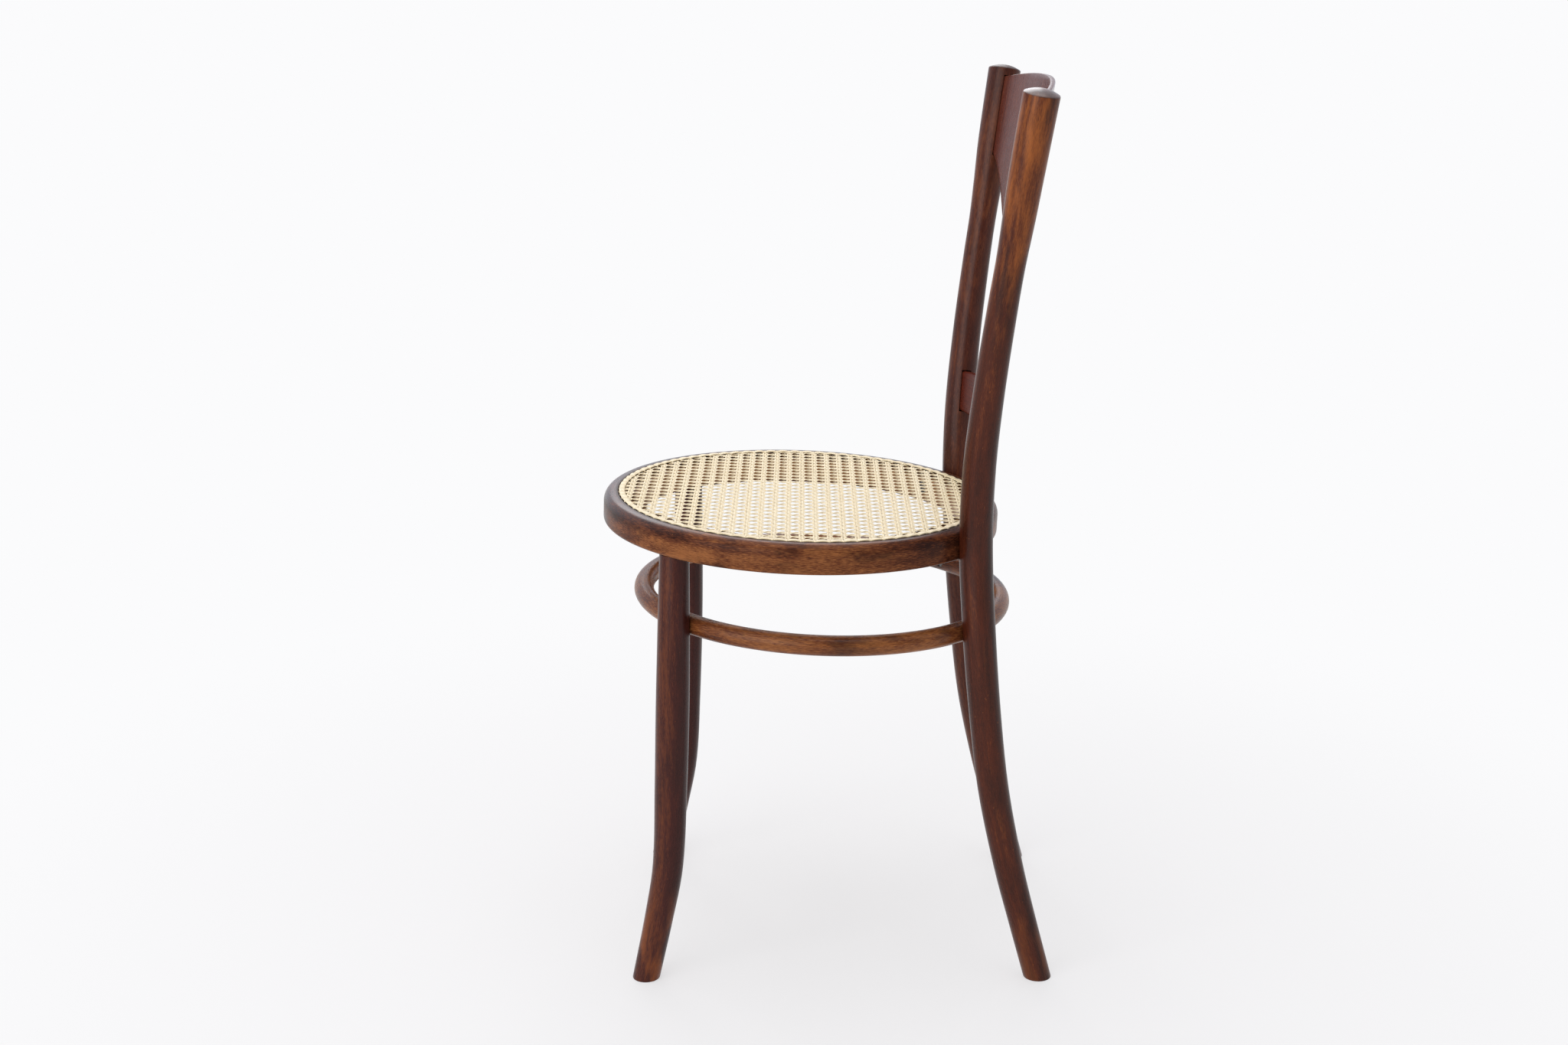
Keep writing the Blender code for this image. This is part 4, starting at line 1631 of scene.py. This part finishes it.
@dataclass
class BowedBoard:
    """A thin plywood board bowed backwards between the posts, with arched edges."""

    name: str
    node: str
    slot: str
    finish: Finish
    thickness: float
    bow: float
    foot: float
    end_height: float
    arch: float
    let_in: float
    belly: float = 0.0
    sag: float = 0.0
    shoulder: float = 0.1
    round: float = 0.0007
    grain_upright: bool = True
    columns: int = 80
    rows: int = 14

    def edges(self, share: float, half_span: float) -> tuple[float, float]:
        """Find the board's edges.

        Args:
            share: How far along the half span, 0 at the middle.
            half_span: The distance from the middle to a post's axis, at the board's foot.

        Returns:
            The heights of the lower and upper edge.
        """
        t = min((1 - share) * half_span / self.shoulder, 1)
        fall = self.belly * eased(t) + self.sag * (1 - share * share)
        return self.foot - fall, self.foot + self.end_height + self.arch * (1 - share * share)

    def solid(self, name: str, post: Bend, grow: float = 0.0) -> Piece:
        """Model the board from a grid that is laid along the bend and thickened.

        Args:
            name: The piece's name.
            post: The bend of the posts that hold it.
            grow: How much larger it is all round.

        Returns:
            The board in its place.
        """
        piece = Bench.add(name, bpy.ops.mesh.primitive_grid_add, x_subdivisions=self.columns,
                          y_subdivisions=self.rows, size=2)
        half_foot = post.at(self.foot)[0]
        for point in piece.data.vertices:
            across = point.co.x
            low, high = self.edges(abs(across), half_foot)
            low -= grow
            high += grow
            height = low + (high - low) * (point.co.y + 1) / 2
            x, y, diameter = post.at(height)
            half_span = x - diameter / 2 + self.let_in + grow
            point.co = (across * half_span, y + self.bow * (1 - across * across), height)
        Bench.weld(piece)
        Bench.modify(piece, "SOLIDIFY", thickness=self.thickness + 2 * grow, offset=0.0, use_even_offset=True)
        if not grow:
            Bench.modify(piece, "BEVEL", width=self.round, segments=3, limit_method="ANGLE")
        Bench.weld(piece)
        return piece

    def dress(self, board: Piece, post: Bend) -> None:
        """Give the board its grain, shading and stain.

        Args:
            board: The finished board.
            post: The bend of the posts that hold it.
        """
        places = Bench.points(board)
        through = []
        for x, y, z in places:
            middle, back, diameter = post.at(z)
            share = x / (middle - diameter / 2 + self.let_in)
            through.append(y - back - self.bow * (1 - share * share))
        across, along = (places[:, 0], places[:, 2]) if self.grain_upright else (places[:, 2], places[:, 0])
        Bench.smooth(board)
        Bench.mark_grain(board, np.column_stack((across, np.array(through), along)))
        Bench.enter(board, self.finish.material(), self.slot, self.node)


@dataclass
class Back:
    """The back between the posts: the crest panel and the low rail."""

    crest: BowedBoard = field(default_factory=lambda: BowedBoard(
        "crest_board", "crest_panel", "crest_ply", StainedWood(
            "crest_ply", (0.046, 0.010, 0.006), (0.102, 0.023, 0.014), (0.175, 0.052, 0.026),
            cloud=0.3, patch=0.15, streak=0.45, rings=0.02, smoke=0.15, wear=0.1, sheen=0.24, gloss=1.27,
            polish=(Band(Axis.THROUGH, 0.0012, 0.0022, 0.9),), plies=True),
        thickness=0.005, bow=0.026, foot=0.792, end_height=0.076, arch=0.012, let_in=0.008,
        belly=0.074, sag=0.012))
    rail: BowedBoard = field(default_factory=lambda: BowedBoard(
        "rail_board", "back_rail", "rail_ply", StainedWood(
            "rail_ply", (0.038, 0.007, 0.004), (0.090, 0.015, 0.008), (0.150, 0.038, 0.017),
            cloud=0.3, patch=0.15, streak=0.35, rings=0.02, smoke=0.15, wear=0.1, gloss=1.16, plies=True),
        thickness=0.008, bow=0.022, foot=0.523, end_height=0.040, arch=0.009, let_in=0.010,
        round=0.0026, grain_upright=False, rows=6))
    groove_gap: float = 0.0010

    def cutters(self, post: Bend) -> list[Piece]:
        """Both boards with room to spare, for cutting the grooves that they sit in."""
        boards = (self.crest, self.rail)
        return [board.solid(board.name + "_cutter", post, self.groove_gap) for board in boards]

    def make(self, post: Bend) -> None:
        """Model and dress both boards."""
        for board in (self.crest, self.rail):
            board.dress(board.solid(board.name, post), post)


@dataclass
class Fasteners:
    """The steel screws and washers that hold the posts and the hoop."""

    post_head: float = 0.0048
    post_head_height: float = 0.0034
    post_shank: float = 0.0025
    post_length: float = 0.055
    dome_turns: tuple[int, ...] = (18, 36, 54, 68, 78, 86)
    washer: RingSection = RingSection(0.0028, 0.0070, -0.0015, -0.0003, (0.0003, 0.0002, 0.0002, 0.0002), 2)
    recess: float = 0.0018
    hoop_head: float = 0.0040
    hoop_head_edge: float = 0.0006
    hoop_head_height: float = 0.0028
    hoop_head_round: float = 0.0002
    hoop_shank: float = 0.0019
    hoop_length: float = 0.036
    hoop_sink: float = 0.0012
    point: float = 0.0003
    tip: float = 0.006
    ledge: float = 0.0001
    runout: float = 0.012
    slot_width: float = 0.0010
    slot_depth: float = 0.0011
    sides: int = 28
    finish: Finish = DullSteel("screw_steel")

    def turned(self, name: str, profile: list[tuple[float, float]]) -> Piece:
        """Turn a piece on the Z axis from the radius and height of each step of its profile."""
        return Bench.swept(name, [Station(Vector((0, 0, z)), radius) for radius, z in profile], self.sides)

    def slotted(self, screw: Piece, top: float, radius: float) -> None:
        """Cut a driver slot across a screw's head.

        Args:
            screw: The screw.
            top: The height of its head's top.
            radius: Its head's radius.
        """
        place = (0, 0, top)
        slot = Bench.add("slot_cutter", bpy.ops.mesh.primitive_cube_add, size=1, location=place)
        size = (radius * 3, self.slot_width, self.slot_depth * 2)
        with Bench.editing(slot):
            bpy.ops.transform.resize(value=size, center_override=place)
        Bench.cut(screw, slot)
        Bench.discard(slot)

    def pointed(self, shank: float, length: float) -> list[tuple[float, float]]:
        """The profile of a screw's point."""
        return [(self.point, -length), (shank, self.tip - length)]

    def post_screw(self) -> tuple[Piece, Piece, Piece]:
        """Model a post's screw, its washer and the drilling for both.

        Returns:
            The screw, the washer and the drilling.
        """
        profile = self.pointed(self.post_shank, self.post_length)
        profile += [(self.post_shank, -self.ledge), (self.post_head, 0.0)]
        for turn in self.dome_turns:
            angle = math.radians(turn)
            profile.append((self.post_head * math.cos(angle), self.post_head_height * math.sin(angle)))
        screw = self.turned("post_screw", profile)
        self.slotted(screw, self.post_head_height, self.post_head)
        washer = Bench.spun_ring("post_washer", self.washer, self.sides)
        hole = self.washer.inner
        bed = self.washer.foot - FIT_GAP
        wide = self.washer.outer + FIT_GAP
        drill = [(hole, -self.post_length - FIT_GAP), (hole, bed - self.ledge),
                 (wide, bed), (wide, self.runout)]
        return screw, washer, self.turned("post_drill", drill)

    def hoop_screw(self) -> tuple[Piece, Piece]:
        """Model one of the hoop's countersunk screws and its drilling.

        Returns:
            The screw and the drilling.
        """
        profile = self.pointed(self.hoop_shank, self.hoop_length)
        profile += [(self.hoop_shank, -self.hoop_head_height), (self.hoop_head, -self.hoop_head_edge),
                    (self.hoop_head, -self.ledge), (self.hoop_head - self.hoop_head_round, 0.0)]
        screw = self.turned("hoop_screw", profile)
        self.slotted(screw, 0.0, self.hoop_head)
        hole = self.hoop_shank + FIT_GAP
        sink = self.hoop_head + FIT_GAP
        drill = [(hole, -self.hoop_length - FIT_GAP), (hole, -self.hoop_head_height - FIT_GAP),
                 (sink, -self.hoop_head_edge - FIT_GAP), (sink, self.runout)]
        return screw, self.turned("hoop_drill", drill)

    @staticmethod
    def fit(parts: dict[str, Piece], drill: Piece, wood: Piece, plane: Matrix, head: Vector,
            outward: Vector) -> dict[str, Piece]:
        """Drill a piece of wood and put copies of steel pieces in the hole.

        Args:
            parts: The steel pieces by the nodes that their copies stand for.
            drill: The drilling.
            wood: The piece that is drilled.
            plane: The place of the plane that the hole is in.
            head: Where the screw's head is in that plane.
            outward: The way that its tip points.

        Returns:
            The copies by node.
        """
        turn = (-outward).to_track_quat("Z", "Y").to_matrix().to_4x4()
        place = plane @ (Matrix.Translation(head) @ turn)
        found = {node: Bench.copied(piece, node + "_steel", place) for node, piece in parts.items()}
        hole = Bench.copied(drill, "drill", place)
        Bench.carve(wood, hole)
        Bench.discard(hole)
        return found

    def fit_posts(self, posts: RearPosts, ring: Piece) -> dict[str, Piece]:
        """Put a screw and washer through the ring's inner wall at each post.

        Args:
            posts: The posts' sizes.
            ring: The ring, which is drilled.

        Returns:
            The screws and washers by the nodes that they stand for.
        """
        screw, washer, drill = self.post_screw()
        _, x, y, _ = posts.bend().knots[len(posts.below)]
        found = {}
        for side in Side:
            outward = Vector((side.value * x, (y - SEAT_CENTRE.y) / math.cos(SEAT_TILT), 0)).normalized()
            head = outward * (RING.inner + self.recess + self.washer.foot - FIT_GAP)
            head.z = RING.foot / 2
            parts = {"post_screw_" + side.word: screw, "post_washer_" + side.word: washer}
            found.update(self.fit(parts, drill, ring, SEAT_PLACE, head, outward))
        Bench.discard(screw, washer, drill)
        return found

    def fit_hoop(self, rods: dict[str, Bend], shape: LegHoop, hoop: Piece) -> dict[str, Piece]:
        """Put a screw through the hoop into each leg.

        Args:
            rods: The bends of the rear and front rods on the sitter's left.
            shape: The hoop's sizes.
            hoop: The hoop, which is drilled.

        Returns:
            The screws by the nodes that they stand for.
        """
        screw, drill = self.hoop_screw()
        found = {}
        for end, bend in rods.items():
            x, y, _ = bend.at(shape.centre.z)
            for side in Side:
                outward = Vector((side.value * x, y - shape.centre.y, 0)).normalized()
                head = outward * (shape.radius - shape.thickness / 2 + self.hoop_sink)
                parts = {"hoop_screw_" + end + "_" + side.word: screw}
                found.update(self.fit(parts, drill, hoop, shape.place, head, outward))
        Bench.discard(screw, drill)
        return found

    def dress(self, pieces: dict[str, Piece]) -> None:
        """Give all steel its shading and its finish.

        Args:
            pieces: The screws and washers by node.
        """
        steel = self.finish.material()
        for node, piece in pieces.items():
            Bench.smooth(piece)
            Bench.enter(piece, steel, "screw_steel", node)


@dataclass(frozen=True)
class Lamp:
    """A square soft light aimed at the seat, with its power in watts."""

    name: str
    place: Triple
    size: float
    power: float


@dataclass
class Studio:
    """A plain pale floor, soft light from all round and a camera at the photograph's view."""

    floor: PaleFloor = PaleFloor()
    floor_size: float = 60.0
    cool_white: Triple = (0.88, 0.90, 1.0)
    soft: float = 0.48
    dim: float = 0.30
    dim_between: tuple[float, float] = (-0.1, 0.8)
    lens: float = 50.0
    sensor: float = 36.0
    eye: Vector = Vector((2.1481, -0.0258, 1.0101))
    yaw: float = math.radians(-0.4628)
    pitch: float = math.radians(15.068)
    lamps: tuple[Lamp, ...] = (Lamp("key_light", (2.9, -2.15, 1.6), 3.2, 70),
                               Lamp("top_light", (0.0, -0.3, 3.6), 3.0, 48),
                               Lamp("back_light", (-2.4, -0.3, 2.4), 2.0, 34))

    @staticmethod
    def aimed(name: str, data: bpy.types.ID, place: Vector, ahead: Vector) -> Piece:
        """Stand a camera or a lamp at a place.

        Args:
            name: Its name.
            data: Its settings.
            place: Where it stands.
            ahead: The way that it looks.

        Returns:
            Its object.
        """
        made = Bench.linked(name, data)
        made.location = place
        made.rotation_euler = ahead.to_track_quat("-Z", "Y").to_euler()
        return made

    def set_camera(self) -> None:
        """Stand the camera where the photograph was taken from."""
        data = bpy.data.cameras.new("photo_camera")
        data.lens = self.lens
        data.sensor_width = self.sensor
        level = math.cos(self.pitch)
        ahead = Vector((-level * math.cos(self.yaw), level * math.sin(self.yaw), -math.sin(self.pitch)))
        bpy.context.scene.camera = self.aimed("photo_camera", data, self.eye, ahead)

    def lay_floor(self) -> None:
        """Lay the floor."""
        floor = Bench.add("floor", bpy.ops.mesh.primitive_plane_add, size=self.floor_size)
        floor.data.materials.append(self.floor.material())

    def set_world(self) -> None:
        """Surround the chair with soft white, which gloss sees dimmer from behind the camera."""
        world = bpy.data.worlds.new("studio")
        bpy.context.scene.world = world
        world.use_nodes = True
        graph = Graph(world.node_tree)
        towards_eye = graph.part(graph.place("Generated"), Axis.ACROSS)
        seen = graph.ray("Is Camera Ray")
        shine = graph.ray("Is Glossy Ray")
        mirrored = graph.step(towards_eye, *self.dim_between, 1.0, self.dim)
        sky = world.node_tree.nodes["Background"]
        graph.feed(sky.inputs["Color"], graph.blend(shine, WHITE, self.cool_white))
        graph.feed(sky.inputs["Strength"], seen + shine * mirrored + (1 - seen - shine) * self.soft)

    def hang_lamps(self) -> None:
        """Hang the soft lights."""
        for lamp in self.lamps:
            data = bpy.data.lights.new(lamp.name, "AREA")
            data.size = lamp.size
            data.energy = lamp.power
            place = Vector(lamp.place)
            self.aimed(lamp.name, data, place, SEAT_CENTRE - place)

    def build(self) -> None:
        """Set up the camera, the floor and the light."""
        self.set_camera()
        self.lay_floor()
        self.set_world()
        self.hang_lamps()
        bpy.context.scene.view_settings.view_transform = "Standard"


def main() -> None:
    """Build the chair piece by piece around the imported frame."""
    logging.basicConfig(level=logging.INFO, format="%(name)s %(message)s")
    Studio().build()
    ring_shape = SeatRing()
    hoop_shape = LegHoop()
    posts = RearPosts()
    legs = FrontLegs()
    back = Back()
    steel = Fasteners()
    post_bend = posts.bend()

    ring = ring_shape.build()
    hoop = hoop_shape.solid("bent_leg_hoop")
    screws = steel.fit_posts(posts, ring)
    screws.update(steel.fit_hoop({"rear": post_bend, "front": legs.bend()}, hoop_shape, hoop))
    hoop_cutter = hoop_shape.solid("hoop_cutter", FIT_GAP)
    tools = [ring_shape.cutter(), hoop_cutter, *back.cutters(post_bend)]
    post_pair = posts.build(tools)
    leg_pair = legs.build([hoop_cutter])
    Bench.discard(*tools)

    ring_shape.dress(ring)
    hoop_shape.dress(hoop)
    posts.dress(post_pair)
    legs.dress(leg_pair)
    back.make(post_bend)
    steel.dress(screws)
    cane = CaneSeat()
    cane.dress(cane.build(ring_shape))


if __name__ == "__main__":
    main()
